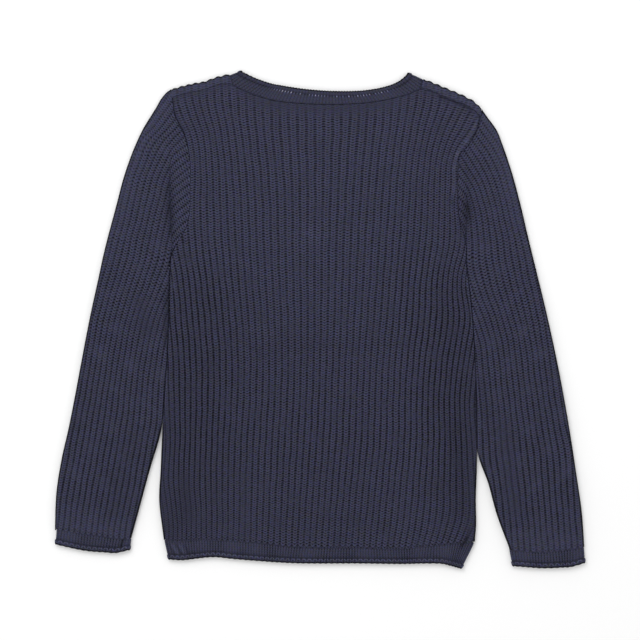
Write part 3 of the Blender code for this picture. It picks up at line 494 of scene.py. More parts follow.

# %% [markdown]
# ## Dark rims and grooves
#
# Seen from above, a fold ends in a thin dark line, because its cloth turns away from the light. Where a
# sleeve touches the body there is a groove instead, and it is dark only in places. Real shadow alone is too
# weak there under such an even light, so shade is painted along the edge. This painted shade is part of the
# cloth's look, kept at its points.

# %% Rims and grooves
RIM_SHADE = 0.1
RIM_WIDTH = 2.2
RIM_FULL = 0.6  # the share of the rim's width that is at its darkest
# How much painted shade the groove between the body and each sleeve has, where they touch. Below 0 it is
# painted light.
GROOVE = columns(
    "y left right",
    (-260.0, -0.3, -0.2), (-50.0, -0.4, -0.4), (0.0, -0.1, -0.4), (30.0, 0.1, -0.4), (60.0, -0.1, -0.3),
    (90.0, -0.2, 0.0), (150.0, -0.2, 0.0), (180.0, -0.1, 0.15), (231.0, 0.0, 0.2),
)
GROOVE_ENDS = {"left": -98.0, "right": -130.0}  # below this height the sleeves part from the body
PARTING = 15.0


def is_free(y, name):
    """1 where the sleeve and the body lie apart, 0 where they touch, and smooth between."""
    return 1.0 - ease(y, GROOVE_ENDS[name] - PARTING, GROOVE_ENDS[name])


def edge_shade(y, name):
    """The painted shade of a side: almost black where it lies free, and the groove's beside a sleeve."""
    free = is_free(y, name)
    return RIM_SHADE * free + (1.0 - curve(GROOVE, "y", name, y)) * (1.0 - free)


def rim_shade(distance, darkest=RIM_SHADE):
    """The painted dark line along a fold: its full dark for most of the width, then up to 1."""
    return darkest + (1.0 - darkest) * ease(distance, RIM_FULL * RIM_WIDTH, RIM_WIDTH)


print("the left side's shade at the hem and under the arm:",
      np.round(edge_shade(np.array([-200.0, 30.0]), "left"), 2))

# %% [markdown]
# ## Unevenness
#
# Knitting is never ruled with a pen: ribs sway, rows rise and fall, and some patches are pulled softer. A
# random number for each stitch would tear the smooth lines of the ribs. A few slow waves that cross each
# other keep them whole, and never repeat within the sweater.

# %% Waves that cross each other
RIB_WANDER = 0.05  # of a rib
ROW_WANDER = 0.25  # of a row
PATCHY = 0.3  # how soft the softest patches are
WAVES = columns("across up phase", (4.1, 9.3, 1.0), (-6.7, 7.1, 2.3), (13.0, 5.2, 3.1))


def wander(x, y, start):
    """A slow unevenness from -1 to 1: the mean of the sines of x / across + y / up + phase x start, in mm."""
    waves = zip(WAVES["across"], WAVES["up"], WAVES["phase"])
    return sum(np.sin(x / across + y / up + phase * start) for across, up, phase in waves) / len(WAVES["up"])


def unevenly(x, y, rib, row):
    """Rib and row numbers that wander a little, and how much softer each place is."""
    patch = PATCHY * np.maximum(wander(x, y, 2.0), 0.0)
    return rib + RIB_WANDER * wander(x, y, 0.0), row + ROW_WANDER * wander(x, y, 1.0), patch


print("the waves at the origin:", np.round([wander(0.0, 0.0, start) for start in (1.0, 2.0)], 2))

# %% [markdown]
# ## Folds
#
# A sweater that was smoothed out by hand still has wide, shallow troughs, small creases and ridges where a
# seam pulls. A cloth simulation could find some, but not those of this photograph. So each is listed: a line
# across the cloth with a width, a height and what it does to the light.

# %% Soft troughs and ridges
def folds(table, x, y):
    """Soft troughs and ridges: each a bell e^-(d / width)^2 of the distance d from its line.

    Gives the height, the painted shade and light, and how soft the stitches look there.
    """
    height = np.zeros(x.shape)
    shade = np.ones(x.shape)
    soft = np.zeros(x.shape)
    for k, width in enumerate(table["width"]):
        run = np.array([table["to_x"][k] - table["x"][k], table["to_y"][k] - table["y"][k]])
        from_start = np.stack([x - table["x"][k], y - table["y"][k]], axis=-1)
        share = np.clip(from_start @ run / (run @ run), 0.0, 1.0)
        bell = np.exp(-((np.linalg.norm(from_start - share[..., None] * run, axis=-1) / width) ** 2))
        height += table["height"][k] * bell
        shade *= 1.0 + table["shade"][k] * bell
        soft = np.maximum(soft, table["soft"][k] * bell)
    return height, shade, soft


# %% [markdown]
# ## The outline of the back
#
# The back is one flat piece: straight sides, curved armholes, a shallow neck and slanting shoulders. It is
# knitted to shape, or cut from knitted cloth. The two sides of a real sweater that was laid down by hand
# never match, so they are two separate columns, and the upper edge and the hem's seam have tables of their
# own.

# %% Outline of the body
BODY = columns(
    "left_y left right_y right",
    (-219.8, -156.4, -222.0, 155.0), (-205.0, -158.4, -206.0, 156.3), (-181.0, -161.0, -181.0, 156.0),
    (-150.0, -159.6, -150.0, 157.0), (-111.0, -157.9, -111.0, 157.2), (-75.0, -155.6, -75.0, 156.6),
    (-39.0, -153.0, -39.0, 155.0), (-5.0, -151.4, -5.0, 153.2), (30.0, -150.6, 30.0, 149.8),
    (52.0, -150.0, 46.0, 147.6), (65.0, -148.5, 58.0, 146.2), (77.0, -143.0, 72.0, 146.6),
    (91.0, -134.5, 88.0, 143.0), (105.0, -131.0, 102.0, 139.4), (130.0, -130.0, 128.0, 138.0),
    (155.0, -130.0, 153.5, 138.5), (170.0, -131.8, 166.0, 140.6), (185.0, -136.0, 175.0, 148.7),
    (204.0, -145.0, 190.0, 157.0), (222.0, -147.8, 203.0, 160.4),
)
UNDERARM = {"left": 65.0, "right": 58.0}

# The upper edge of the back: the left shoulder seam, the neckband's seam and the right shoulder seam.
BACK_TOP = columns(
    "x y",
    (-147.8, 222.0), (-140.0, 225.0), (-128.0, 228.0), (-116.0, 230.0), (-104.0, 234.5), (-94.0, 236.3),
    (-88.0, 235.0), (-84.0, 233.0), (-75.0, 228.5), (-64.0, 224.3), (-47.0, 219.5), (-16.0, 216.2),
    (22.0, 215.6), (54.0, 218.0), (75.0, 222.0), (90.0, 226.0), (96.0, 229.0), (100.5, 230.6),
    (108.0, 229.5), (115.0, 227.5), (123.0, 223.5), (134.5, 219.0), (144.0, 216.0), (151.0, 212.0),
    (160.4, 203.0),
)

# The seam between the panel and the hem.
HEM_SEAM = columns(
    "x y",
    (-156.4, -219.8), (-141.0, -221.0), (-127.0, -219.4), (-107.0, -219.7), (-85.0, -220.4),
    (-60.0, -222.5), (-30.0, -226.0), (40.0, -227.3), (83.0, -228.0), (108.0, -225.5), (121.0, -224.2),
    (136.0, -222.6), (155.0, -222.0),
)


def side(name, y):
    """The x of the left or right edge of the body at a height."""
    return curve(BODY, name + "_y", name, y)


def below_top(x, y):
    """How far a point lies below the upper edge of the back."""
    return curve(BACK_TOP, "x", "y", x) - y


def above_hem(x, y):
    """How far a point lies above the hem's seam."""
    return y - curve(HEM_SEAM, "x", "y", x)


print("the back is", np.round(side("right", 0.0) - side("left", 0.0), 1), "mm wide below the arms")

# %% [markdown]
# ## The rib lines
#
# The ribs run from the hem to the neck and draw together towards the sides, where the cloth is squeezed.
# One table says where rib 0 lies at each height, how far apart the ribs are, and how much they draw
# together, left and right. A cubic term draws them together and one of the fifth power opens the outermost
# ones again beside the armholes.

# %% Rib lines of the body
BODY_RIBS = columns(
    "y centre pitch narrow_left narrow_right widen_left widen_right",
    (-245.0, -17.5, 6.00, 0.0010, 0.0006, 0.0, 0.0),
    (-200.0, -15.0, 6.08, 0.0010, -0.0003, 0.0, 0.0),
    (-160.0, -12.4, 6.25, 0.0008, 0.0001, 0.0, 0.0),
    (-120.0, -9.6, 6.41, 0.0010, 0.0006, 0.0, 0.0),
    (-80.0, -7.5, 6.33, 0.0006, 0.0007, 0.0, 0.0),
    (-40.0, -6.2, 6.38, 0.0005, 0.0006, 0.0, 0.0),
    (0.0, -5.5, 6.66, 0.0007, 0.0007, 0.0, 0.0),
    (40.0, -5.5, 7.05, 0.0012, 0.0016, 0.0, 0.0),
    (80.0, -5.4, 7.31, 0.0010, 0.0014, 0.0, 0.0),
    (120.0, -4.7, 7.61, 0.0017, 0.0022, 0.0, 0.0),
    (140.0, -4.7, 7.87, 0.0033, 0.0037, 2.0e-6, 2.5e-6),
    (155.0, -4.7, 8.10, 0.0044, 0.0044, 3.0e-6, 3.0e-6),
    (170.0, -5.0, 8.37, 0.0061, 0.0053, 6.5e-6, 5.0e-6),
    (190.0, -4.9, 8.78, 0.0079, 0.0071, 1.1e-5, 1.1e-5),
    (200.0, -5.0, 8.88, 0.0075, 0.0066, 1.2e-5, 1.1e-5),
    (220.0, -5.0, 8.90, 0.0046, 0.0046, 6.0e-6, 1.0e-5),
    (238.0, -5.0, 8.90, 0.0034, 0.0034, 2.0e-6, 8.0e-6),
)
FAR_RIB = 1000.0  # a rib that is certainly outside, for columns that are pressed on to the edge
LIMIT_RIB = 28.0


def side_of(rib, name, y):
    """A column of the rib table, from its left or its right version."""
    left, right = (curve(BODY_RIBS, "y", name + end, y) for end in ("_left", "_right"))
    return np.where(rib < 0, left, right)


def rib_x(rib, y):
    """Where a rib crosses a height: centre + pitch x rib - narrow x rib cubed + widen x rib to the fifth."""
    within = np.clip(rib, -LIMIT_RIB, LIMIT_RIB)
    x = curve(BODY_RIBS, "y", "centre", y) + curve(BODY_RIBS, "y", "pitch", y) * within
    x += side_of(rib, "widen", y) * within**5 - side_of(rib, "narrow", y) * within**3
    return np.where(np.abs(rib) < FAR_RIB, x, np.sign(rib) * FAR_RIB)


def body_rib(x, y):
    """The rib of a point: rib = (offset + narrow rib^3 - widen rib^5) / pitch, corrected many times."""
    offset = x - curve(BODY_RIBS, "y", "centre", y)
    pitch = curve(BODY_RIBS, "y", "pitch", y)
    narrow = side_of(offset, "narrow", y)
    widen = side_of(offset, "widen", y)
    rib = offset / pitch
    for _ in range(14):
        rib = np.clip((offset + narrow * rib**3 - widen * rib**5) / pitch, -LIMIT_RIB, LIMIT_RIB)
    return rib


print("ribs across the hem:", np.round(body_rib(np.array([-156.0, 155.0]), np.array([-220.0, -222.0])), 1))

# %% [markdown]
# ## The stitch rows
#
# Rows of stitches lie across the ribs. They are a little closer at the hem than at the chest, so their
# number at a height is a sum of steps divided by the pitch there. The hem's seam sags in the middle, and
# the lowest rows follow it: each level is lifted by a share of the seam's curve, which fades out upwards.

# %% Stitch rows of the body
BODY_ROWS = columns(
    "y pitch",
    (-260.0, 2.22), (-185.0, 2.29), (-155.0, 2.38), (-105.0, 2.45), (-55.0, 2.54), (0.0, 2.60),
    (60.0, 2.64), (110.0, 2.63), (160.0, 2.50), (250.0, 2.35),
)
ROW_COUNT_STEP = 0.5
HEM_SHARE = columns("y share", (-225.0, 1.0), (-205.0, 0.5), (-181.0, 0.2), (-150.0, 0.0), (240.0, 0.0))


def row_counter(table):
    """Heights and the number of stitch rows below each: the sum of step / pitch."""
    y = np.arange(table["y"][0], table["y"][-1], ROW_COUNT_STEP)
    return y, np.concatenate([[0.0], np.cumsum(ROW_COUNT_STEP / curve(table, "y", "pitch", y[1:]))])


ROW_Y, ROW_NUMBER = row_counter(BODY_ROWS)


def hem_wave(x, level):
    """How far the hem's curve lifts a level at x: share x (seam - the straight line between its ends)."""
    straight = np.interp(x, HEM_SEAM["x"][[0, -1]], HEM_SEAM["y"][[0, -1]])
    return curve(HEM_SHARE, "y", "share", level) * (curve(HEM_SEAM, "x", "y", x) - straight)


def body_row(x, y):
    """The row number of a point, by taking the hem's wave off its height."""
    level = y
    for _ in range(5):
        level = y - hem_wave(x, level)
    return np.interp(level, ROW_Y, ROW_NUMBER)


print("rows of stitches in the middle:", np.round(np.diff(body_row(np.zeros(2), np.array([-226.0, 216.0])))))

# %% [markdown]
# ## A grid that follows the knit
#
# A square grid would cut across the ribs and blur them. So the grid's columns follow the ribs, four to a
# rib, and its rows follow the stitches, two to a row. Where a column leaves the panel it is pressed on to
# the edge. Columns that crowd together along each side give it its round.

# %% The grid of the back
COLUMNS_PER_RIB = 4
ROWS_PER_STITCH = 2
LOWEST_RIB = -28
HIGHEST_RIB = 30
LOWEST_LEVEL = -224.0
HIGHEST_LEVEL = 237.0
PRESSED = 20.0  # this far below the lowest row, a row is certainly pressed on to the seam
SEAM_INSET = 1.6  # how far inside the seams the rows are kept, but for the outermost two, at 0 and half of it


def counted(lowest, highest, parts):
    """Whole numbers from the lowest to the highest, and parts of them between."""
    return np.arange(lowest * parts, highest * parts + 1) / parts


def back_columns():
    """The rib number of each column and how far inside the sides it is kept."""
    ribs = counted(LOWEST_RIB, HIGHEST_RIB, COLUMNS_PER_RIB)
    far = np.full(len(EDGE_STEPS), FAR_RIB)
    spare = (len(ribs) + 2 * len(far) - 1) % STEP
    ribs = np.concatenate([-far, ribs[spare:], far])
    steps = EDGE_STEPS * SIDE_RADIUS
    inset = np.concatenate([steps, np.full(len(ribs) - 2 * len(steps), SIDE_RADIUS), steps[::-1]])
    return ribs, inset


def back_rows():
    """The level of each row and how far inside the seams it is kept."""
    bottom, top = np.interp([LOWEST_LEVEL, HIGHEST_LEVEL], ROW_Y, ROW_NUMBER)
    rows = counted(np.floor(bottom), np.ceil(top), ROWS_PER_STITCH)
    spare = STEP - (len(rows) + 3) % STEP
    rows = np.concatenate([rows, rows[-1] + np.arange(1, spare + 1) / ROWS_PER_STITCH])
    level = np.interp(rows, ROW_NUMBER, ROW_Y)
    first = level[:1] - PRESSED
    level = np.concatenate([first, first, level, level[-1:], level[-1:]])
    inset = np.concatenate([[0.0, SEAM_INSET / 2], np.full(len(rows), SEAM_INSET), [SEAM_INSET / 2, 0.0]])
    return level[:, None], inset[:, None]


def back_grid():
    """Rib and row positions: x from the rib's line, y from the row's level, each kept inside the outline."""
    ribs, from_sides = back_columns()
    level, from_seams = back_rows()
    ribs, level = np.broadcast_arrays(ribs[None, :], level)
    x = rib_x(ribs, level)
    for _ in range(6):
        x = np.clip(x, side("left", level) + from_sides, side("right", level) - from_sides)
        lowest = curve(HEM_SEAM, "x", "y", x) + SEAM_GAP / 2 + from_seams
        highest = curve(BACK_TOP, "x", "y", x) - SEAM_GAP / 2 - from_seams
        y = np.clip(level + hem_wave(x, level), lowest, highest)
        x = np.clip(rib_x(ribs, y), side("left", y) + from_sides, side("right", y) - from_sides)
    return x, y


print("rows and columns of the grid:", back_grid()[0].shape)

# %% [markdown]
# ## Where the stitches change
#
# Towards the hem the cloth is stretched less, so the holes of a valley close up and run together into one
# dark groove. Under the neckband and at the shoulder seams the cloth is pulled flat, and the stitches are
# hard to tell. Both are smooth shares over the whole panel, because they change by degrees.

# %% Running holes and soft stitches
RUN_LOW = 0.6  # how far the holes run together at the hem
RUN_LOW_FROM_TO = (60.0, -190.0)
RUN_BESIDE = 0.9  # and beside the arms
RUN_BESIDE_OUT = (50.0, 115.0)
RUN_BESIDE_DOWN = (110.0, 20.0)
RUN_ENDS = 0.8  # the share that is lost again just above the hem
RUN_ENDS_DOWN = (-120.0, -200.0)
RUN_MIDDLE = -5.0
NECK_SOFT = 0.65
NECK_SOFT_DOWN = (2.0, 20.0)
NECK_SOFT_OUT = (60.0, 95.0)
NECK_SOFT_MIDDLE = 5.0
SHOULDER_SOFT = 0.5
SHOULDER_SOFT_DOWN = (1.0, 12.0)
SIDE_SOFT = 0.3
SIDE_SOFT_IN = (5.0, 17.0)
SIDE_SOFT_DOWN = (-30.0, -110.0)
SOFT_DULLS = 0.5  # soft places have no dark holes, but are no lighter for that


def from_side(x, y):
    """The distance from the nearer side of the body."""
    return np.minimum(x - side("left", y), side("right", y) - x)


def body_run(x, y):
    """Where the holes of a valley run together: more and more towards the hem, and beside the arms."""
    down = RUN_LOW * ease(y, *RUN_LOW_FROM_TO)
    beside = RUN_BESIDE * ease(np.abs(x - RUN_MIDDLE), *RUN_BESIDE_OUT) * ease(y, *RUN_BESIDE_DOWN)
    return np.maximum(down, beside) * (1.0 - RUN_ENDS * ease(y, *RUN_ENDS_DOWN))


def body_soft(x, y):
    """Stitches are pulled flat under the neckband and, less, under the shoulder seams and at low sides."""
    below = below_top(x, y)
    middle = 1.0 - ease(np.abs(x - NECK_SOFT_MIDDLE), *NECK_SOFT_OUT)
    under_neck = NECK_SOFT * (1.0 - ease(below, *NECK_SOFT_DOWN)) * middle
    under_seam = SHOULDER_SOFT * (1.0 - ease(below, *SHOULDER_SOFT_DOWN))
    at_side = SIDE_SOFT * (1.0 - ease(from_side(x, y), *SIDE_SOFT_IN)) * ease(y, *SIDE_SOFT_DOWN)
    return np.maximum(np.maximum(under_neck, under_seam), at_side)


print("how far the holes run together, at three heights:",
      np.round(body_run(np.zeros(3), np.array([100.0, 0.0, -100.0])), 2))

# %% [markdown]
# ## The folds of the body and of the underside
#
# Wide troughs along both sides are from the arms, which were laid beside the body, and are darkened with
# painted shade. Ribs that stand up along the armholes are where its seam turns under, and are lightened with
# painted light, and short dark rows are the shoulder seams. The side on the floor can't be seen, so it has a
# few wide troughs of the same kind, and is flat between them, where it rests.

# %% Folds of the body and of the underside
# Where each starts and ends, how wide and high it is (below 0 it is a trough), its painted shade (below
# 0 darker, above lighter), and how soft it is.
BODY_FOLDS = columns(
    "x y to_x to_y width height shade soft",
    (-122.0, 0.0, -130.0, -190.0, 44.0, -0.5, -0.12, 0.0),
    (128.0, 5.0, 140.0, -185.0, 29.0, -0.5, -0.13, 0.0),
    (-138.0, -178.0, -146.0, -212.0, 10.0, -0.4, -0.12, 0.0),
    (139.0, -105.0, 141.0, -190.0, 9.0, -0.4, -0.10, 0.0),
    (-70.0, -27.0, 90.0, -24.0, 8.0, -0.2, -0.05, 0.0),
    (-50.0, -200.0, 65.0, -201.0, 8.0, -0.2, -0.04, 0.0),
    (-75.0, -152.0, -76.0, -216.0, 6.0, 0.3, 0.0, 0.35),
    (-135.0, -160.0, -130.0, -200.0, 6.0, -0.4, -0.05, 0.4),
    (-20.0, -60.0, 20.0, -200.0, 90.0, 0.0, -0.05, 0.0),
    (-10.0, 88.0, -4.0, 86.0, 8.0, 0.2, 0.16, 0.0),
    (-141.0, 92.0, -136.5, 78.0, 1.4, -0.3, -0.35, 0.0),
    (137.5, 166.0, 134.5, 152.0, 1.7, 0.3, 0.55, 0.6),
    (134.5, 152.0, 134.5, 128.0, 1.7, 0.3, 0.40, 0.5),
    (146.5, 178.0, 137.5, 166.0, 1.7, 0.3, 0.55, 0.6),
    (155.0, 194.0, 146.5, 178.0, 1.7, 0.3, 0.50, 0.6),
    (158.0, 208.0, 155.0, 194.0, 1.7, 0.3, 0.35, 0.6),
    (-148.0, 62.0, -147.0, 30.0, 1.5, 0.2, 0.25, 0.3),
    (149.0, -208.0, 146.5, -217.9, 1.7, -0.3, -0.30, 0.3),
    (146.5, -217.9, 140.8, -227.4, 1.7, -0.5, -0.60, 0.0),
    (119.0, 224.0, 134.5, 218.4, 1.2, -0.2, -0.50, 0.0),
    (134.5, 218.4, 150.5, 211.4, 1.2, -0.2, -0.50, 0.0),
    (-147.0, 219.0, -145.2, 206.0, 1.2, -0.2, -0.35, 0.0),
    (-145.2, 206.0, -135.8, 186.0, 1.2, -0.2, -0.35, 0.0),
    (-135.8, 186.0, -132.5, 174.0, 1.2, -0.2, -0.35, 0.0),
)
UNDER_FOLDS = columns(
    "x y to_x to_y width height shade soft",
    (-120.0, 50.0, -131.0, -75.0, 9.0, 0.5, -0.10, 0.0),
    (118.0, 20.0, 130.0, -60.0, 8.0, 0.4, -0.10, 0.0),
    (-70.0, -150.0, 25.0, -168.0, 8.0, 0.4, -0.08, 0.0),
    (-15.0, 60.0, 60.0, 96.0, 9.0, 0.4, -0.08, 0.0),
    (-80.0, 120.0, -118.0, 160.0, 8.0, 0.5, -0.10, 0.0),
    (84.0, 112.0, 122.0, 166.0, 8.0, 0.5, -0.10, 0.0),
    (-176.0, 40.0, -204.0, -60.0, 7.0, 0.5, -0.10, 0.0),
    (-205.0, -110.0, -232.0, -150.0, 6.0, 0.4, -0.08, 0.0),
    (182.0, 30.0, 214.0, -72.0, 7.0, 0.5, -0.10, 0.0),
    (225.0, -120.0, 238.0, -168.0, 6.0, 0.4, -0.08, 0.0),
)
print(len(BODY_FOLDS["x"]), "folds on the body and", len(UNDER_FOLDS["x"]), "on the underside")

# %% [markdown]
# ## The back panel
#
# The panel is a shown side, a plain inside and their rim. The shown side stands on a rounded edge, carries
# the knit's relief and dips to every seam. Beside the armhole it starts higher, since it meets the sleeve
# there instead of turning under. Where a rib ends at the hem it hangs over the band in a small lobe,
# because a knitted edge is drawn up between the ribs.

# %% The back panel as one closed cloth
SIDE_RIM = 3.3
ARMHOLE_RIM = 4.7
ARMHOLE_OPENS = 20.0  # above the underarm, the rim has its full height from here
SHOULDER_DIP = 0.3
SHOULDER_OUT = (85.0, 100.0)
SHOULDER_UP = (150.0, 200.0)
SEAM_WIDTH = 3.0
KNIT_STARTS = 1.5  # the relief of the knit is at its full this far inside a side
LOBE = 1.3  # how far the end of a rib hangs over the band
LOBE_FADE = 4.0


def back_height(x, y, knit):
    """Height = rim + (top - rim) x rounded side + knit - dip at the seams."""
    edge = from_side(x, y)
    rim = SIDE_RIM + (ARMHOLE_RIM - SIDE_RIM) * ease(y, UNDERARM["left"], UNDERARM["left"] + ARMHOLE_OPENS)
    seam = np.minimum(above_hem(x, y), below_top(x, y))
    z = rim + (UPPER_TOP - rim) * rounded(edge, SIDE_RADIUS)
    at_shoulder = ease(np.abs(x - NECK_SOFT_MIDDLE), *SHOULDER_OUT) * ease(y, *SHOULDER_UP)
    dip = SHOULDER_DIP + (SEAM_DIP - SHOULDER_DIP) * (1.0 - at_shoulder)
    return z + knit * ease(edge, 0.0, KNIT_STARTS) - dip * (1.0 - ease(seam, 0.0, SEAM_WIDTH))


def back_panel():
    """The shown side as a dense grid, the inside as every eighth point of it on one level, and their rim."""
    cloth = Cloth()
    x, y = back_grid()
    run = body_run(x, y)
    rib, row, patch = unevenly(x, y, body_rib(x, y), body_row(x, y))
    # The folds bring painted shade and light with their height.
    fold_height, shade, fold_soft = folds(BODY_FOLDS, x, y)
    soft = np.maximum(np.maximum(body_soft(x, y), fold_soft), patch)
    z = back_height(x, y, relief(rib, row, 1.0 - run / 2) * (1.0 - soft)) + fold_height
    lobed = y - LOBE * crest(rib) * (1.0 - ease(above_hem(x, y), 0.0, LOBE_FADE))
    # Painted shade: a dark line along each free side, and the groove's painted shade or light beside a
    # sleeve.
    for name, here in (("left", x < 0), ("right", x >= 0)):
        shade *= np.where(here, rim_shade(from_side(x, y), edge_shade(y, name)), 1.0)
    shade *= 1.0 - SOFT_DULLS * soft
    outer = cloth.grid(np.stack([x, lobed, z], axis=-1), rib, row, shade, run, soft)
    every = (slice(None, None, STEP), slice(None, None, STEP))
    under = np.full(x[every].shape, UPPER_UNDERSIDE)
    inner = cloth.grid(np.stack([x[every], y[every], under], axis=-1), rib[every], row[every])
    for line in ((slice(None), 0), (slice(None), -1), (0, slice(None)), (-1, slice(None))):
        cloth.strip(outer[line], inner[line])
    return cloth.make("back_panel_cloth", RIB_KNIT)


back = back_panel()

# %% [markdown]
# ## The outlines of the sleeves
#
# A sleeve is knitted flat, joined into a tube along its underarm, and lies pressed in two layers. It has an
# outer fold, an inner fold below the armhole, and the armhole's seam above. The two sleeves were laid down
# differently, so each has tables of its own. The right one is written down mirrored, as a left sleeve, and
# turned back at the end, so that one function makes both.

# %% Outlines of the sleeves
LEFT_OUTER = columns(
    "y x",
    (231.2, -148.9), (229.0, -152.2), (223.0, -158.0), (213.0, -164.0), (190.0, -178.0),
    (175.0, -185.0), (145.0, -196.0), (115.0, -204.0), (66.0, -216.8), (40.0, -222.4), (12.0, -228.6),
    (-20.0, -235.0), (-52.0, -241.0), (-84.0, -247.0), (-108.0, -251.8), (-140.0, -259.0),
    (-172.0, -264.0), (-208.9, -265.6),
)
LEFT_UNDER = columns(
    "y x",
    (-218.6, -188.6), (-182.0, -178.6), (-150.0, -170.0), (-113.0, -159.2), (-94.0, -157.4),
    (-62.0, -155.2), (-32.0, -153.2), (-1.0, -151.8), (26.0, -150.9), (51.0, -150.4),
)
RIGHT_OUTER = columns(
    "y x",
    (211.0, -162.0), (204.0, -167.0), (190.0, -177.0), (175.0, -183.0), (145.0, -193.0),
    (115.0, -201.0), (85.0, -208.0), (62.0, -213.6), (40.0, -219.0), (12.0, -225.8), (-20.0, -233.0),
    (-52.0, -239.6), (-84.0, -245.6), (-125.0, -252.4), (-157.0, -257.2), (-190.0, -262.0),
    (-226.8, -264.8),
)
RIGHT_UNDER = columns(
    "y x",
    (-229.9, -189.6), (-193.0, -176.0), (-163.0, -167.8), (-137.0, -158.4), (-94.0, -157.3),
    (-62.0, -156.4), (-30.0, -154.8), (-1.0, -153.2), (25.0, -150.9), (46.0, -148.0),
)

# How rows cross a sleeve: a row of the coarse grid, where it starts on the outer fold, and where it ends.
LEFT_CROSSINGS = columns(
    "step outer inner",
    (0, 231.2, 231.2), (8, 185.0, 172.0), (16, 137.0, 116.0), (24, 84.0, 65.0), (28, 60.0, 45.0),
    (72, -208.9, -218.6),
)
RIGHT_CROSSINGS = columns(
    "step outer inner",
    (0, 211.0, 211.0), (8, 165.0, 156.0), (16, 121.0, 107.0), (24, 76.0, 58.0), (28, 52.0, 37.0),
    (74, -226.8, -229.9),
)
UNDERARM_STEP = 24
print("rows of the coarse grids:", LEFT_CROSSINGS["step"][-1], RIGHT_CROSSINGS["step"][-1])

# %% [markdown]
# ## Ribs, crease and cuff of each sleeve
#
# The ribs run down the arm and bend with it. Beside the armhole they fan out and curl into a crease, where
# the top of the sleeve was pushed together. A table gives the middle rib and the pitch at each height, and
# one the crease: its line, its depth, half its width and how much painted shade it has.

# %% Rib lines of the sleeves
LEFT_RIBS = columns(
    "y centre pitch",
    (-232.0, -242.5, 5.70), (-204.0, -239.0, 5.70), (-180.0, -235.6, 5.90), (-140.0, -228.6, 5.90),
    (-100.0, -221.7, 5.85), (-60.0, -215.6, 5.50), (-20.0, -209.1, 5.50), (0.0, -205.2, 5.60),
    (20.0, -199.6, 5.85), (40.0, -193.4, 6.15), (60.0, -187.2, 6.25), (80.0, -182.9, 6.15),
    (95.0, -179.1, 6.00), (120.0, -173.2, 6.10), (140.0, -168.3, 6.20), (150.0, -164.6, 6.30),
    (160.0, -160.2, 6.60), (170.0, -155.2, 7.00), (180.0, -148.1, 7.50), (194.0, -134.0, 7.90),
    (205.0, -125.5, 8.00), (231.0, -107.0, 8.20),
)
RIGHT_RIBS = columns(
    "y centre pitch",
    (-250.0, -230.0, 5.90), (-200.0, -225.8, 5.95), (-160.0, -222.3, 6.10), (-140.0, -220.7, 6.30),
    (-100.0, -215.0, 5.90), (-60.0, -209.6, 5.70), (-20.0, -204.6, 5.70), (0.0, -200.3, 5.95),
    (20.0, -194.9, 6.40), (40.0, -189.6, 6.65), (60.0, -185.6, 6.60), (80.0, -182.9, 6.15),
    (95.0, -180.0, 5.75), (120.0, -174.6, 5.65), (130.0, -171.7, 5.80), (140.0, -168.0, 6.20),
    (150.0, -163.3, 6.80), (160.0, -157.9, 7.30), (170.0, -151.1, 7.70), (180.0, -144.0, 7.80),
    (211.0, -120.0, 8.00),
)
SLEEVE_ROWS = columns(
    "y pitch",
    (-260.0, 2.42), (-140.0, 2.45), (-90.0, 2.52), (-50.0, 2.67), (0.0, 2.85), (40.0, 2.90),
    (100.0, 2.80), (250.0, 2.75),
)

# %% Creases, cuffs and folds of the sleeves
# The right crease is mirrored like its sleeve. Cuffs and folds are not, and are where they really lie.
LEFT_CREASE = columns(
    "y x depth half_width dark",
    (52.0, -148.7, 0.6, 3.5, 0.00),
    (80.0, -148.2, 1.2, 4.0, 0.10),
    (93.0, -149.0, 1.7, 4.5, 0.30),
    (108.0, -149.6, 1.8, 5.0, 0.40),
    (125.0, -150.5, 1.6, 4.5, 0.30),
    (145.0, -150.2, 0.8, 4.0, 0.10),
    (160.0, -150.0, 0.3, 4.0, 0.00),
)
RIGHT_CREASE = columns(
    "y x depth half_width dark",
    (37.0, -146.0, 0.2, 3.0, 0.00),
    (60.0, -145.5, 0.4, 3.0, 0.00),
    (85.0, -145.0, 1.0, 3.5, 0.15),
    (100.0, -147.0, 1.9, 5.0, 0.42),
    (112.0, -147.0, 1.9, 6.0, 0.42),
    (128.0, -147.0, 1.0, 6.0, 0.15),
    (150.0, -146.0, 0.2, 6.0, 0.00),
)
LEFT_CUFF = columns(
    "seam_x seam_y edge_x edge_y",
    (-261.0, -209.3, -263.2, -224.8), (-250.0, -210.8, -252.0, -227.4),
    (-234.5, -213.2, -236.5, -230.6), (-213.0, -216.4, -216.0, -232.4),
    (-199.0, -218.4, -202.0, -232.8), (-191.4, -218.6, -192.6, -230.4),
)
RIGHT_CUFF = columns(
    "seam_x seam_y edge_x edge_y",
    (192.0, -230.0, 195.0, -246.4), (204.0, -230.6, 206.0, -247.2), (220.0, -231.5, 221.0, -248.3),
    (238.0, -230.2, 240.0, -247.8), (255.0, -228.2, 255.0, -246.2), (261.8, -227.2, 263.4, -243.6),
)
ARM_FOLDS = columns(
    "x y to_x to_y width height shade soft",
    (-153.0, 28.0, -154.0, -25.0, 4.0, -0.3, -0.22, 0.3),
    (-180.0, 18.0, -172.0, -10.0, 8.0, -0.3, -0.03, 0.45),
    (-235.0, -60.0, -244.0, -110.0, 10.0, -0.3, -0.05, 0.0),
    (-190.0, -120.0, -205.0, -190.0, 14.0, -0.4, -0.04, 0.2),
    (183.0, -105.0, 195.0, -190.0, 9.0, -0.4, 0.04, 0.45),
    (157.0, 47.0, 158.0, 5.0, 1.6, 0.3, 0.18, 0.3),
    (235.0, -40.0, 250.0, -150.0, 10.0, 0.2, 0.04, 0.0),
    (160.0, -60.0, 166.0, -100.0, 6.0, -0.3, -0.05, 0.2),
)
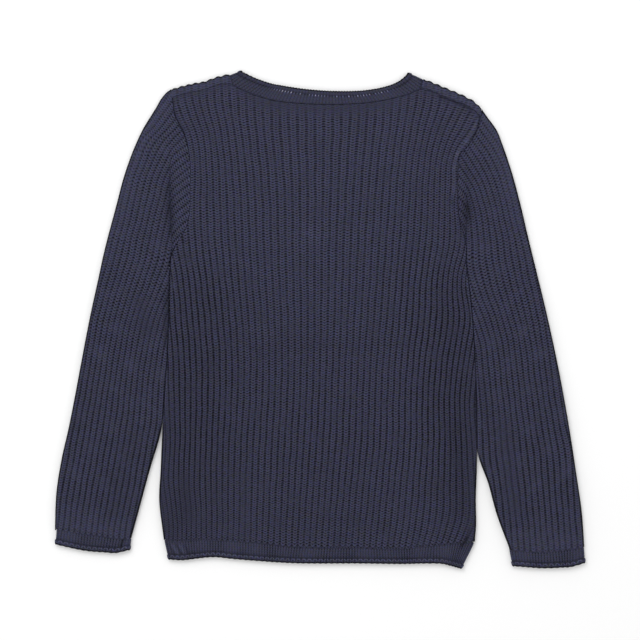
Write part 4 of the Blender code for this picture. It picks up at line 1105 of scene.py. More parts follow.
SLEEVES = {
    "left": {"mirror": 1.0, "outer": LEFT_OUTER, "under": LEFT_UNDER, "crossings": LEFT_CROSSINGS,
             "ribs": LEFT_RIBS, "crease": LEFT_CREASE, "cuff": LEFT_CUFF,
             "fan": {"slant": 0.4, "curl": 2.6, "spacing": 8.4, "rib": 4.0, "rib_lands": 141.0,
                     "top": 155.0}},
    "right": {"mirror": -1.0, "outer": RIGHT_OUTER, "under": RIGHT_UNDER, "crossings": RIGHT_CROSSINGS,
              "ribs": RIGHT_RIBS, "crease": RIGHT_CREASE, "cuff": RIGHT_CUFF,
              "fan": {"slant": 0.8, "curl": 2.0, "spacing": 11.0, "rib": 4.25, "rib_lands": 130.0,
                      "top": 130.0}},
}
print(len(ARM_FOLDS["x"]), "folds on the sleeves")

# %% [markdown]
# ## The inner side of a sleeve
#
# Below the armhole a sleeve touches the body for a while and then parts from it. So its inner side is put
# together from its own inner fold, the body's side with a thin gap, and the armhole with a seam's gap.
# Taking the body's side from the body's own table keeps the two from crossing.

# %% The inner side as one table
GROOVE_GAP = 0.5
TOUCH_GAP = 0.15
TOUCH_STEP = 6.0
TOUCH_ENDS = 3.0  # below the underarm
PART_BELOW = 5.0  # below the end of the groove, the inner fold's own table is used


def inner_edge(name):
    """The inner side of a sleeve as one table: inner fold, body's side, armhole, shoulder's tip."""
    sleeve = SLEEVES[name]
    under = sleeve["under"]
    hole = BODY[name + "_y"] >= UNDERARM[name]
    free = under["y"] < GROOVE_ENDS[name] - PART_BELOW
    touching = np.arange(GROOVE_ENDS[name], UNDERARM[name] - TOUCH_ENDS, TOUCH_STEP)
    beside_body = sleeve["mirror"] * side(name, touching) - TOUCH_GAP
    armhole = sleeve["mirror"] * BODY[name][hole] - SEAM_GAP / 2
    return {
        "y": np.concatenate([under["y"][free], touching, BODY[name + "_y"][hole], sleeve["outer"]["y"][:1]]),
        "x": np.concatenate([under["x"][free] - GROOVE_GAP, beside_body, armhole, sleeve["outer"]["x"][:1]]),
    }


print("points of the inner sides:", [len(inner_edge(name)["y"]) for name in SLEEVES])

# %% [markdown]
# ## Rib and row numbers of a sleeve
#
# A rib is found square across the sleeve, and rows are counted along its middle rib. Where the ribs fan
# out, the number of a rib follows from where it lands in the crease instead. The two are mixed smoothly
# above the crease.

# %% Ribs along the arm and in the fan
LOWEST_COUNT = -260.0
HIGHEST_COUNT = 240.0
FAN_BLEND = 30.0
FAN_ROW = 2.6  # mm from row to row in the fan, whose rows run at a slant with this sine and cosine
FAN_SINE = 0.77
FAN_COSINE = 0.64


def plain_rib(x, y, ribs):
    """rib = offset / pitch, row = sum of step / row pitch on the middle rib + offset x sine / row pitch."""
    slope = (curve(ribs, "y", "centre", y + 1.0) - curve(ribs, "y", "centre", y - 1.0)) / 2.0
    offset = x - curve(ribs, "y", "centre", y)
    middle_y = np.arange(LOWEST_COUNT, HIGHEST_COUNT)
    lengths = along(np.column_stack([curve(ribs, "y", "centre", middle_y), middle_y]))
    rows = np.diff(lengths) / curve(SLEEVE_ROWS, "y", "pitch", middle_y[1:])
    counts = np.concatenate([[0.0], np.cumsum(rows)])
    across = offset * slope / np.sqrt(1.0 + slope**2) / curve(SLEEVE_ROWS, "y", "pitch", y)
    return offset / curve(ribs, "y", "pitch", y), np.interp(y, middle_y, counts) + across


def sleeve_rib(x, y, sleeve):
    """Rib and row numbers: plain below, and beside the armhole ribs that curl down into the crease.

    In the fan: rib = first rib + (where it lands - landing) / spacing, where landing = y - slant x past -
    curl x root of past, and past is the distance beyond the crease.
    """
    fan = sleeve["fan"]
    rib, row = plain_rib(x, y, sleeve["ribs"])
    past = np.maximum(x - curve(sleeve["crease"], "y", "x", y), 0.0)
    landing = y - fan["slant"] * past - fan["curl"] * np.sqrt(past)
    fan_rib = fan["rib"] + (fan["rib_lands"] - landing) / fan["spacing"]
    top = np.array([fan["top"]])
    first_row = plain_rib(curve(sleeve["crease"], "y", "x", top), top, sleeve["ribs"])[1]
    fan_row = first_row + (past * FAN_SINE + (y - fan["top"]) * FAN_COSINE) / FAN_ROW
    share = np.where(past > 0.0, 1.0 - ease(landing, fan["top"], fan["top"] + FAN_BLEND), 0.0)
    return rib + (fan_rib - rib) * share, row + (fan_row - row) * share


elbow = sleeve_rib(np.array([-200.0]), np.array([0.0]), SLEEVES["left"])
print("rib and row at the left elbow:", np.round(elbow, 1).ravel())

# %% [markdown]
# ## Rows ruled across a sleeve
#
# Rows of stitches run straight across an arm, so its grid is ruled: each row is a straight line from the
# outer fold to the armhole, and below the armhole to the inner fold. At the shoulder's tip the rows shrink
# to a point, and the last rows settle on to the bent seam of the cuff.

# %% Ruled rows
SETTLE = 3.0  # coarse rows over which the grid settles on to the cuff's seam


def sleeve_rows(name, steps):
    """Where rows start on the outer fold and end on the inner side, their lengths, and how open it is."""
    sleeve = SLEEVES[name]
    edge = inner_edge(name)
    outer_y = curve(sleeve["crossings"], "step", "outer", steps)
    inner_y = curve(sleeve["crossings"], "step", "inner", steps)
    start = np.stack([curve(sleeve["outer"], "y", "x", outer_y), outer_y], axis=-1)
    end = np.stack([curve(edge, "y", "x", inner_y), inner_y], axis=-1)
    return {
        "steps": steps[:, None],
        "start": start,
        "end": end,
        "length": np.linalg.norm(end - start, axis=1)[:, None],
        "open": ease(inner_y[:, None], UNDERARM[name], UNDERARM[name] + ARMHOLE_OPENS),
    }


def ruled(name, rows, shares):
    """Points = start + share x (end - start), and the last rows + settle x (cuff's seam - straight line)."""
    sleeve = SLEEVES[name]
    start = rows["start"]
    end = rows["end"]
    points = start[:, None, :] + (end - start)[:, None, :] * shares[..., None]
    cuff = {"x": sleeve["mirror"] * sleeve["cuff"]["seam_x"], "y": sleeve["cuff"]["seam_y"]}
    last = rows["steps"][-1, 0]
    settle = ease(rows["steps"], last - SETTLE, last)
    straight = np.interp(points[..., 0], [start[-1, 0], end[-1, 0]], [start[-1, 1], end[-1, 1]])
    points[..., 1] += settle * (curve(cuff, "x", "y", points[..., 0]) + SEAM_GAP / 2 - straight)
    return points[..., 0], points[..., 1]


# %% [markdown]
# ## Height of a sleeve
#
# Both layers round off at the folds, but at the armhole they end in a seam and stay flat. At the shoulder's
# tip all of it closes to one point. The crease is a soft bell across its line.

# %% Rounded sides, the tip and the crease
TINY = 1e-9
SIDE_PARTS = 3.0  # a rounded side takes this part of a narrow row at most
TIP_LEVEL = 3.4
TIP_FADE = 8.0
CREASE_FADE = 15.0


def side_rise(rows, shares):
    """The smaller height share of the two rounded sides, where an armhole's side counts as flat."""
    radius = np.minimum(SIDE_RADIUS, rows["length"] / SIDE_PARTS) + TINY
    outer = rounded(shares * rows["length"], radius)
    inner = rows["open"] + (1.0 - rows["open"]) * rounded((1.0 - shares) * rows["length"], radius)
    return np.minimum(outer, inner)


def to_tip(z, length):
    """The height, drawn to the tip's level where a row has no length: tip + (z - tip) x smooth step."""
    return TIP_LEVEL + (z - TIP_LEVEL) * ease(length, 0.0, TIP_FADE)


def crease_share(x, y, crease):
    """How much of the crease is at a point: a bell across it, e to minus (offset / half width) squared."""
    above = 1.0 - ease(y, crease["y"][-1], crease["y"][-1] + CREASE_FADE)
    below = ease(y, crease["y"][0] - CREASE_FADE, crease["y"][0])
    across = (x - curve(crease, "y", "x", y)) / curve(crease, "y", "half_width", y)
    return above * below * np.exp(-(across**2))


print("the top in rows 0, 4 and 8 mm long:", np.round(to_tip(UPPER_TOP, np.array([0.0, 4.0, 8.0])), 2), "mm")

# %% [markdown]
# ## The shown layer of a sleeve
#
# It is made like the back: a rounded surface with the knit's relief, its dips and its folds, and the same
# look. The points crowd towards both folds, where the cloth bends most. The stitches soften on the upper
# arm and at the cuff.

# %% The shown layer
ACROSS = 16 * STEP
EDGE_CROWDING = 0.3
ROW_LENGTH = 6.0  # mm between two coarse rows, about
ARM_SEAM_WIDTH = 4.0
ARMHOLE_KNIT = 10.0  # beside the armhole the relief doesn't fade, as if the side were this much further away
ARM_SOFT = 0.12  # how much softer the stitches look on the upper arms
ARM_SOFT_UP = (20.0, 130.0)
OUTER_SOFT = 0.3  # and how much more so beside their outer fold
OUTER_SOFT_IN = (4.0, 22.0)
CUFF_SOFT = 0.35  # how much softer the stitches look at the cuff, where it gathers them
CUFF_SOFT_ABOVE = 42.0  # from this far above it


def arm_soft(y, from_outer, to_cuff):
    """How soft the stitches look: upper arm x (arm + more beside the outer fold) + cuff."""
    upper = ease(y, *ARM_SOFT_UP) * (ARM_SOFT + OUTER_SOFT * (1.0 - ease(from_outer, *OUTER_SOFT_IN)))
    return upper + CUFF_SOFT * ease(to_cuff, CUFF_SOFT_ABOVE, 0.0)


def arm_height(rows, shares, bell_depth, knit, to_cuff):
    """Height = fold + (top - fold) x rise - dips at armhole and cuff - rise x crease + knit, and the rise."""
    rise = side_rise(rows, shares)
    length = rows["length"]
    from_inner = (1.0 - shares) * length
    z = FOLD_LEVEL + (UPPER_TOP - FOLD_LEVEL) * rise
    z = z - SEAM_DIP * rows["open"] * (1.0 - ease(from_inner, 0.0, ARM_SEAM_WIDTH))
    z -= SEAM_DIP * ease(to_cuff, SEAM_WIDTH, 0.0)
    z -= rise * bell_depth
    rim = np.minimum(shares * length, from_inner + ARMHOLE_KNIT * rows["open"])
    z += knit * ease(rim, 0.0, KNIT_STARTS) * ease(length, 0.0, TIP_FADE)
    return to_tip(z, length), rise


def sleeve_top(cloth, name):
    """The shown layer as a dense grid, with rib and row numbers, shade, running holes and softness."""
    sleeve = SLEEVES[name]
    mirror = sleeve["mirror"]
    crease = sleeve["crease"]
    last = int(sleeve["crossings"]["step"][-1])
    rows = sleeve_rows(name, np.arange(last * STEP + 1) / STEP)
    t = np.linspace(0.0, 1.0, ACROSS + 1)
    shares = (t - EDGE_CROWDING * np.sin(TURN * t) / TURN)[None, :]
    x, y = ruled(name, rows, shares)
    from_outer = shares * rows["length"]
    from_inner = (1.0 - shares) * rows["length"]
    to_cuff = (last - rows["steps"]) * ROW_LENGTH
    rib, row = sleeve_rib(x, y, sleeve)
    rib, row, patch = unevenly(x, y, rib, row)
    soft = np.maximum(arm_soft(y, from_outer, to_cuff), patch)
    run = RUN_LOW * ease(y, *RUN_LOW_FROM_TO)
    knit = relief(rib, row, 1.0 - run / 2) * (1.0 - soft)
    bell = crease_share(x, y, crease)
    z, rise = arm_height(rows, shares, bell * curve(crease, "y", "depth", y), knit, to_cuff)
    fold_height, shade, fold_soft = folds(ARM_FOLDS, mirror * x, y)
    z += fold_height * rise
    # Painted shade: a dark line along the outer fold, and the groove's painted shade or light along the inner
    # side.
    shade *= rim_shade(from_outer) * rim_shade(from_inner, edge_shade(y, name))
    shade *= 1.0 - SOFT_DULLS * fold_soft
    # Painted shade in the crease.
    shade *= 1.0 - bell * curve(crease, "y", "dark", y)
    soft = np.maximum(soft, fold_soft)
    lobed = y - LOBE * crest(rib) * ease(to_cuff, LOBE_FADE, 0.0)
    return cloth.grid(np.stack([mirror * x, lobed, z], axis=-1), rib, row, shade, run, soft)


# %% [markdown]
# ## The layers that hardly show
#
# The lower layer lies on the floor, and the two layers face each other over a thin space. None of them
# needs a stitch, so they are coarse: one point for every eighth of the shown layer. The space ends a wall's
# thickness inside each fold, so that the cloth is equally thick all round.

# %% The lower layer and the inner faces
BOTTOM_COLUMNS = 17


def coarse_rows(name):
    """One row for each step of the sleeve's crossings."""
    return sleeve_rows(name, np.arange(SLEEVES[name]["crossings"]["step"][-1] + 1.0))


def sleeve_bottom(cloth, name):
    """The lower layer: z = fold x (1 - rise) + folds x rise."""
    sleeve = SLEEVES[name]
    rows = coarse_rows(name)
    length = rows["length"]
    rounded_part = np.minimum(SIDE_RADIUS, length / SIDE_PARTS) / (length + TINY)
    outer = rounded_part * EDGE_STEPS[1:]
    inner_steps = np.linspace(0.0, 1.0, BOTTOM_COLUMNS + 4 - 2 * len(EDGE_STEPS))[1:-1]
    middle = rounded_part + (1.0 - 2.0 * rounded_part) * inner_steps
    shares = np.concatenate([outer, middle, 1.0 - outer[:, ::-1]], axis=1)
    x, y = ruled(name, rows, shares)
    rise = side_rise(rows, shares)
    fold_height, shade, _ = folds(UNDER_FOLDS, sleeve["mirror"] * x, y)
    z = to_tip(FOLD_LEVEL * (1.0 - rise) + fold_height * rise, length)
    return cloth.grid(np.stack([sleeve["mirror"] * x, y, z], axis=-1), *sleeve_rib(x, y, sleeve), shade)


def sleeve_inside(cloth, name, level):
    """One face of the space between the layers, from one wall inside a fold to one inside the other."""
    sleeve = SLEEVES[name]
    rows = coarse_rows(name)
    length = rows["length"]
    wall = np.minimum(WALL, length / SIDE_PARTS) / (length + TINY)
    shares = wall + (1.0 - (2.0 - rows["open"]) * wall) * np.linspace(0.0, 1.0, BOTTOM_COLUMNS)
    x, y = ruled(name, rows, shares)
    z = np.broadcast_to(to_tip(level, length), x.shape)
    return cloth.grid(np.stack([sleeve["mirror"] * x, y, z], axis=-1), *sleeve_rib(x, y, sleeve))


# %% [markdown]
# ## A whole sleeve
#
# Four grids are now joined into one closed cloth. Along the outer fold the shown layer meets the lower one,
# and the two inner faces meet each other. So they do along the inner fold, but above the underarm each
# layer ends in the armhole's seam with a rim of its own, and so it does at the cuff.

# %% The sleeves as closed cloths
def join_layers(cloth, top, bottom, above, below):
    """Strips and ladders along the folds, the armhole and the cuff, and one face wherever three meet."""
    k = UNDERARM_STEP
    cloth.strip(top[:, 0], bottom[:, 0])
    cloth.ladder(above[:, 0], below[:, 0])
    cloth.strip(top[: k * STEP + 1, -1], above[: k + 1, -1])
    cloth.ladder(bottom[: k + 1, -1], below[: k + 1, -1])
    cloth.strip(top[k * STEP :, -1], bottom[k:, -1])
    cloth.ladder(above[k:, -1], below[k:, -1])
    cloth.strip(top[-1], above[-1])
    cloth.ladder(bottom[-1], below[-1])
    corners = ((k * STEP, k, -1), (-1, -1, 0), (-1, -1, -1))
    cloth.faces += [[top[d, e], bottom[c, e], below[c, e], above[c, e]] for d, c, e in corners]


def sleeve_cloth(name):
    """The shown layer as a dense grid, and three coarse ones: the layer below and the two inner faces."""
    cloth = Cloth()
    top = sleeve_top(cloth, name)
    bottom = sleeve_bottom(cloth, name)
    above = sleeve_inside(cloth, name, UPPER_UNDERSIDE)
    below = sleeve_inside(cloth, name, WALL)
    join_layers(cloth, top, bottom, above, below)
    return cloth.make(f"sleeve_{name}_cloth", RIB_KNIT)


sleeve_cloths = {name: sleeve_cloth(name) for name in SLEEVES}

# %% [markdown]
# ## The bands
#
# Hem, cuffs and neckband are knitted in a finer gauge, joined in the round and left with a free edge, which
# rolls up by itself as plain knit does. Each could be a strip with its roll modelled apart, but one profile
# does it all: from the seam over the flat part and the roll, and back on the inside. It is carried all the
# way round: along the top layer, round a fold, back along the lower layer and round the other fold.

# %% Where the bands lie
HEM = columns(
    "seam_x seam_y edge_x edge_y",
    (-153.6, -219.9, -149.6, -239.6), (-141.0, -221.0, -138.0, -240.3),
    (-127.0, -219.4, -125.5, -238.9), (-107.0, -219.7, -107.0, -237.2), (-85.0, -220.4, -85.0, -239.2),
    (-60.0, -222.5, -60.0, -241.2), (-30.0, -226.0, -32.0, -243.0), (40.0, -227.3, 40.0, -243.5),
    (83.0, -228.0, 84.0, -244.0), (108.0, -225.5, 106.0, -243.6), (121.0, -224.2, 121.0, -243.8),
    (136.0, -222.6, 131.0, -246.0), (152.4, -222.2, 139.6, -248.4),
)
NECK_BACK = columns(
    "seam_x seam_y edge_x edge_y",
    (-89.9, 242.6, -77.4, 248.0), (-88.0, 235.0, -74.0, 246.6), (-84.0, 233.0, -68.0, 243.6),
    (-75.0, 228.5, -59.5, 240.2), (-64.0, 224.3, -50.0, 237.0), (-47.0, 219.5, -38.0, 234.6),
    (-16.0, 216.2, -12.0, 230.8), (22.0, 215.6, 20.0, 229.0), (54.0, 218.0, 46.0, 230.0),
    (75.0, 222.0, 64.0, 233.2), (90.0, 226.0, 76.0, 237.4), (96.0, 229.0, 81.0, 240.4),
    (100.5, 230.6, 85.0, 243.6), (102.9, 238.3, 87.0, 246.0),
)
print("widths of the hem and of the neck:", np.ptp(HEM["seam_x"]), np.ptp(NECK_BACK["seam_x"]), "mm")

# %% The profile of a band
# Across a band: how far along the flat part and along the roll, the height over the inside in the upper and
# the lower layer, what a rib adds to height and reach, the painted shade of the place, darkest where the
# roll turns away from the light, and where the painted dark line at the start of the roll is.
BAND_PROFILE = columns(
    "plain roll upper lower rib scallop shade line",
    (0.00, 0.00, 1.90, 2.00, 0.0, 0.0, 0.75, 0.0),
    (0.07, 0.00, 2.05, 2.30, 0.2, 0.0, 0.90, 0.0),
    (0.15, 0.00, 2.10, 2.40, 0.4, 0.0, 1.00, 0.0),
    (0.40, 0.00, 2.00, 2.40, 0.4, 0.0, 1.00, 0.0),
    (0.65, 0.00, 1.90, 2.40, 0.4, 0.0, 1.00, 0.0),
    (0.85, 0.00, 1.80, 2.40, 0.4, 0.0, 1.00, 0.0),
    (0.94, 0.00, 1.70, 2.40, 0.2, 0.0, 0.95, 0.4),
    (1.00, 0.00, 1.60, 2.40, 0.0, 0.0, 0.95, 1.0),
    (1.00, 0.09, 1.90, 2.40, 0.0, 0.0, 0.95, 0.9),
    (1.00, 0.18, 2.50, 2.40, 0.0, 0.0, 1.00, 0.1),
    (1.00, 0.28, 2.85, 2.40, 0.0, 0.0, 1.00, 0.0),
    (1.00, 0.38, 3.00, 2.40, 0.0, 0.0, 1.00, 0.0),
    (1.00, 0.48, 3.05, 2.40, 0.0, 0.0, 1.00, 0.0),
    (1.00, 0.58, 3.00, 2.35, 0.0, 0.1, 1.00, 0.0),
    (1.00, 0.66, 2.85, 2.25, 0.0, 0.2, 1.00, 0.0),
    (1.00, 0.72, 2.70, 2.15, 0.0, 0.3, 0.60, 0.0),
    (1.00, 0.78, 2.55, 2.05, 0.0, 0.3, 0.10, 0.0),
    (1.00, 0.90, 2.15, 1.75, 0.0, 0.4, 0.05, 0.0),
    (1.00, 1.00, 1.10, 1.10, 0.0, 0.4, 0.35, 0.0),
    (1.00, 0.97, 0.45, 0.45, 0.0, 0.2, 0.60, 0.0),
    (1.00, 0.88, 0.10, 0.10, 0.0, 0.0, 0.80, 0.0),
    (0.50, 0.00, 0.00, 0.00, 0.0, 0.0, 0.80, 0.0),
    (0.00, 0.00, 0.00, 0.00, 0.0, 0.0, 0.80, 0.0),
)
BAND_FOLDS = columns(
    "x y to_x to_y width height shade soft",
    (-195.0, -212.0, -199.0, -226.0, 1.5, -0.6, -0.6, 0.0),
    (146.5, -217.9, 140.8, -227.4, 1.7, -0.6, -0.6, 0.0),
    (-147.5, -226.0, -142.0, -234.0, 1.1, 0.4, 0.35, 0.0),
    (-140.0, -226.0, -135.5, -234.0, 1.1, 0.4, 0.35, 0.0),
    (-144.0, -224.0, -138.8, -234.0, 1.0, -0.3, -0.45, 0.0),
    (-135.5, -225.0, -131.5, -233.0, 1.0, -0.3, -0.40, 0.0),
    (-151.0, -224.0, -146.0, -234.0, 1.2, -0.2, -0.30, 0.0),
)
print(len(BAND_PROFILE["plain"]), "points across a band")

# %% [markdown]
# ## The edge of hem and cuffs
#
# The last stitches of a roll stand up in a row of little arches, each lit on its ridge and shaded on both
# sides. They are far too small for a model of their own, and too plain to see for a noise. So height and
# painted shade follow the distance from the ridge, which rises and falls with every loop: painted light on
# the ridge and painted shade beside it.

# %% Arches on the roll
LOOP_TOP = 0.20  # where the ridge lies on the roll at the top of an arch
LOOP_DROP = 0.42  # and how much further round it is between two arches
LOOP_WIDTH = 0.12
LOOP_HEIGHT = 0.6
LOOP_LIGHT = 1.2
OUTSIDE = -1.6  # the dark beside the ridge, in widths from it
OUTSIDE_DARK = 0.65
INSIDE = 1.7
INSIDE_DARK = 0.3
SEAM_LINE = 0.5  # how much of the dark outside is at the line where the roll starts
ROLL_STARTS = (0.0, 0.1)
PLAIN_ENDS = (0.95, 1.0)
ROLL_HIDES = (0.7, 0.85)
EDGE_SOFT = 0.3
EDGE_PATCHES = 0.25
EDGE_WAVES = (0.9, 0.37)  # two slow waves over the ribs, whose product is the patches


def rolled_finish(rib, profile, x):
    """Height, shade and softness, from the distance past a ridge at top + drop x (1 - |sin(pi rib)|)."""
    ridge = LOOP_TOP + LOOP_DROP * (1.0 - np.abs(np.sin(np.pi * rib)))
    past = (profile["roll"] - ridge) / LOOP_WIDTH
    on_roll = ease(profile["roll"], *ROLL_STARTS) * ease(profile["plain"], *PLAIN_ENDS)
    arch = np.exp(-(past**2)) * on_roll
    outside = np.exp(-((past - OUTSIDE) ** 2)) * on_roll + SEAM_LINE * profile["line"]
    inside = np.exp(-((past - INSIDE) ** 2)) * on_roll * (1.0 - ease(profile["roll"], *ROLL_HIDES))
    # Painted light on each arch's ridge, and painted shade outside and inside it and along the roll's start.
    shade = 1.0 + LOOP_LIGHT * arch - OUTSIDE_DARK * np.minimum(outside, 1.0) - INSIDE_DARK * inside
    soft = EDGE_SOFT + EDGE_PATCHES * np.sin(EDGE_WAVES[0] * rib) * np.sin(EDGE_WAVES[1] * rib + 1.0)
    return LOOP_HEIGHT * (arch - outside / 3.0), shade, soft


# %% [markdown]
# ## The seam of the neckband
#
# The neckband is linked on stitch by stitch. Single stitches of the linking show as a row of light dashes
# along its roll, some of them strong and some hardly there. A wave would make them all alike, so each has a
# random strength of its own. Towards its high ends the band turns away, and its ribs and stitches fade.

# %% Linking stitches
LINK_MIDDLE = 12.0
LINK_OUT = (62.0, 80.0)
LINK_WIDTH = 0.16  # of a rib
LINK_LIGHT = 6.0
LINK_HEIGHT = 0.3
LINK_GAP = (0.2, 0.45)  # the painted shade between two stitches, from the middle of a rib outwards
GAP_DARK = 0.6
END_DARK = 0.3
DASH_RIBS = 3.0  # ribs from one dash of the seam to the next
DASH_DARK = 0.55
DASH_LEAST = 0.05
DASH_EDGE = 0.4
DASH_REACH = 0.12  # of the flat part
NECK_SOFT_ENDS = 0.4
NECK_SOFT_MORE = 0.2


def linked_finish(rib, profile, x):
    """Shade = (1 + light x bead - dark x gap - dark at the ends) x (1 - the dashes of the seam)."""
    middle = 1.0 - ease(np.abs(x - LINK_MIDDLE), *LINK_OUT)
    chance = np.random.default_rng(7).uniform(0.0, 1.0, 1000)[np.floor(rib).astype(int)]
    across = np.abs(rib % 1.0 - 0.5)
    bead = np.exp(-((across / LINK_WIDTH) ** 2)) * profile["line"] * chance * middle
    gap = ease(across, *LINK_GAP) * profile["line"] * middle
    seam = 1.0 - ease(profile["plain"], 0.0, DASH_REACH)
    dashes = DASH_LEAST + DASH_DARK * middle * ease(np.cos(TURN * rib / DASH_RIBS), -DASH_EDGE, DASH_EDGE)
    # Painted shade between the stitches and, towards the ends, along the roll's start; the dashes are the
    # seam's.
    lit = 1.0 + LINK_LIGHT * bead - GAP_DARK * gap - END_DARK * profile["line"] * (1.0 - middle)
    return LINK_HEIGHT * bead, lit * (1.0 - dashes * seam), NECK_SOFT_ENDS + NECK_SOFT_MORE * middle


# %% [markdown]
# ## A band carried round
#
# First the band needs its course: where its seam and its free edge are, section by section, and how far
# each section has turned from the top layer to the lower one. There are eight sections to a loop and a few
# more round each fold, so that neither the ribs nor the folds look cut.

# %% The course of a band
SECTIONS_PER_LOOP = 8
FOLD_SECTIONS = 9


def band_lines(layer, count):
    """The seam and the free edge of one layer at equal lengths along the seam."""
    places = along(np.column_stack([layer["seam_x"], layer["seam_y"]]))
    table = {"at": places, **layer}
    where = np.linspace(0.0, places[-1], count)
    seam = np.column_stack([curve(table, "at", "seam_x", where), curve(table, "at", "seam_y", where)])
    edge = np.column_stack([curve(table, "at", "edge_x", where), curve(table, "at", "edge_y", where)])
    return seam, edge


def all_round(upper, lower):
    """The upper line, its last point round one fold, the lower line backwards, and its first point."""
    folded = FOLD_SECTIONS - 2
    first = np.repeat(upper[:1], folded, axis=0)
    last = np.repeat(upper[-1:], folded, axis=0)
    return np.concatenate([upper, last, lower[::-1], first, upper[:1]])


def band_course(upper, lower, pitch):
    """Seam, free edge, turn (0 on top, pi below) and rib number of each section, and the x of the middle."""
    ribs = round(along(np.column_stack([upper["seam_x"], upper["seam_y"]]))[-1] / pitch)
    count = ribs * SECTIONS_PER_LOOP + 1
    seam, edge = band_lines(upper, count)
    low_seam, low_edge = band_lines(lower, count)
    fold = np.linspace(0.0, 1.0, FOLD_SECTIONS)[1:-1]
    turns = np.linspace(0.0, np.pi, FOLD_SECTIONS)[1:-1]
    turn = np.concatenate([np.zeros(count), turns, np.full(count, np.pi), turns[::-1], [0.0]])
    numbers = np.linspace(0.0, ribs, count)
    rib = np.concatenate([numbers, ribs + fold, ribs + 1 + numbers, 2 * ribs + 1 + fold, [2 * ribs + 2]])
    seams = all_round(seam, low_seam)
    edges = all_round(edge, low_edge)
    return seams, edges, turn[:, None], rib[:, None], seam[:, 0].mean()


# %% [markdown]
# ## A band as one closed cloth
#
# The profile now runs along that course. Each section reaches from the seam towards the free edge, and its
# height stands away from the fold's level, up on the top layer, down below and outwards round a fold. Ribs
# and finish are only on the shown side, because the lower layer lies on the floor.

# %% Bands
BAND_ROLL = 5.5
BAND_ROW = 2.4


def band_directions(seams, edges, middle):
    """The unit vector from seam to free edge, the one outwards across it, and the width of each section."""
    run = edges - seams
    width = np.linalg.norm(run, axis=1)[:, None]
    run = run / width
    outward = np.column_stack([run[:, 1], -run[:, 0]])
    return run, outward * np.sign(outward[:, :1]) * np.sign(seams[:, :1] - middle), width


def band_cloth(name, material, upper, lower, pitch, strokes, finish):
    """Place = seam + reach x run + height x sin turn x outward, z = fold + height x cos turn."""
    seams, edges, turn, rib, middle = band_course(upper, lower, pitch)
    run, outward, width = band_directions(seams, edges, middle)
    profile = {key: value[None, :] for key, value in BAND_PROFILE.items()}
    low = (1.0 - np.cos(turn)) / 2.0
    plain = width - BAND_ROLL - SEAM_GAP / 2
    scallop = profile["scallop"] * crest(rib)
    reach = profile["plain"] * plain + profile["roll"] * BAND_ROLL + SEAM_GAP / 2 + scallop
    place = seams[:, None, :] + reach[..., None] * run[:, None, :]
    fold_height, fold_shade, _ = folds(BAND_FOLDS, place[..., 0], place[..., 1])
    finish_height, shade, soft = finish(rib, profile, seams[:, :1])
    shade = shade * fold_shade
    shown = profile["rib"] * crest(strokes * rib) * (1.0 - soft)
    shown = shown + (finish_height + fold_height * (profile["upper"] > 1.0))
    height = profile["upper"] * (1.0 - low) + profile["lower"] * low
    height = height + shown * (1.0 - low) + SEAM_GAP / 2
    place = place + (height * np.sin(turn))[..., None] * outward[:, None, :]
    points = np.concatenate([place, (FOLD_LEVEL + height * np.cos(turn))[..., None]], axis=-1)
    # The profile's painted shade, times the finish's shade, which fades out on the lower layer.
    lit = profile["shade"] * (shade + (1.0 - shade) * low)
    soft = np.broadcast_to(soft, reach.shape)
    rows = reach / BAND_ROW
    rows = np.concatenate([rows, 2 * rows.max() - rows[:, :1]], axis=1)
    points, lit, soft = (np.concatenate([grid, grid[:, :1]], axis=1) for grid in (points, lit, soft))
    cloth = Cloth()
    cloth.grid(points, strokes * rib, rows, lit, 0.0, soft)
    return cloth.make(name + "_cloth", material)


# %% [markdown]
# ## Four bands
#
# Hem and cuffs lie with both layers alike, so one table serves for both. The neckband doesn't: its back is
# high and shallow, and its front is a deep round under it, which is hidden. That round is half an ellipse
# for the seam and another for the free edge, because nothing of it shows that would need a table.

# %% Hem, cuffs and neckband
HEM_LOOP = 5.5  # mm from one arch to the next
CUFF_LOOP = 5.7
NECK_RIB = 3.4
FRONT_NECK_DROP = 60.0
BAND_EXTRA_DROP = 6.0  # how much deeper the seam hangs than the free edge
NECK_SECTIONS = 49


def front_neck():
    """The neckband's lower layer: half ellipses, x = middle - radius x cos a and y = level - drop x sin a."""
    angle = np.linspace(0.0, np.pi, NECK_SECTIONS)
    across = (1.0 - np.cos(angle)) / 2.0
    layer = {}
    for name, drop in (("seam", FRONT_NECK_DROP + BAND_EXTRA_DROP), ("edge", FRONT_NECK_DROP)):
        x = NECK_BACK[name + "_x"]
        y = NECK_BACK[name + "_y"]
        layer[name + "_x"] = x[0] + (x[-1] - x[0]) * across
        layer[name + "_y"] = y[0] + (y[-1] - y[0]) * across - drop * np.sin(angle)
    return layer


hem = band_cloth("hem", BAND_KNIT, HEM, HEM, HEM_LOOP, 2, rolled_finish)
cuff_left = band_cloth("cuff_left", BAND_KNIT, LEFT_CUFF, LEFT_CUFF, CUFF_LOOP, 2, rolled_finish)
cuff_right = band_cloth("cuff_right", BAND_KNIT, RIGHT_CUFF, RIGHT_CUFF, CUFF_LOOP, 2, rolled_finish)
neckband = band_cloth("neckband", NECK_KNIT, NECK_BACK, front_neck(), NECK_RIB, 1, linked_finish)

# %% [markdown]
# ## The front panel
#
# The front lies underneath. Only its two shoulders show, where it is turned over on to the back, because
# the shoulder seam of this sweater lies behind the shoulder. It could be a flat plate with two loose strips
# on the back, but the real one is a single cloth. So the plate's top edge is carried on over each shoulder
# as a strip.

# %% Tables of the front
SHOULDER_EDGE = columns(
    "x y",
    (-148.3, 230.3), (-140.0, 233.0), (-128.0, 236.0), (-116.0, 238.0), (-104.0, 242.5), (-91.0, 245.6),
    (104.0, 240.6), (118.0, 235.0), (130.0, 230.0), (142.0, 225.0), (154.0, 218.6), (161.6, 211.0),
)
SHOULDER_SPANS = {"left": (-148.6, -91.0), "right": (104.0, 161.6)}
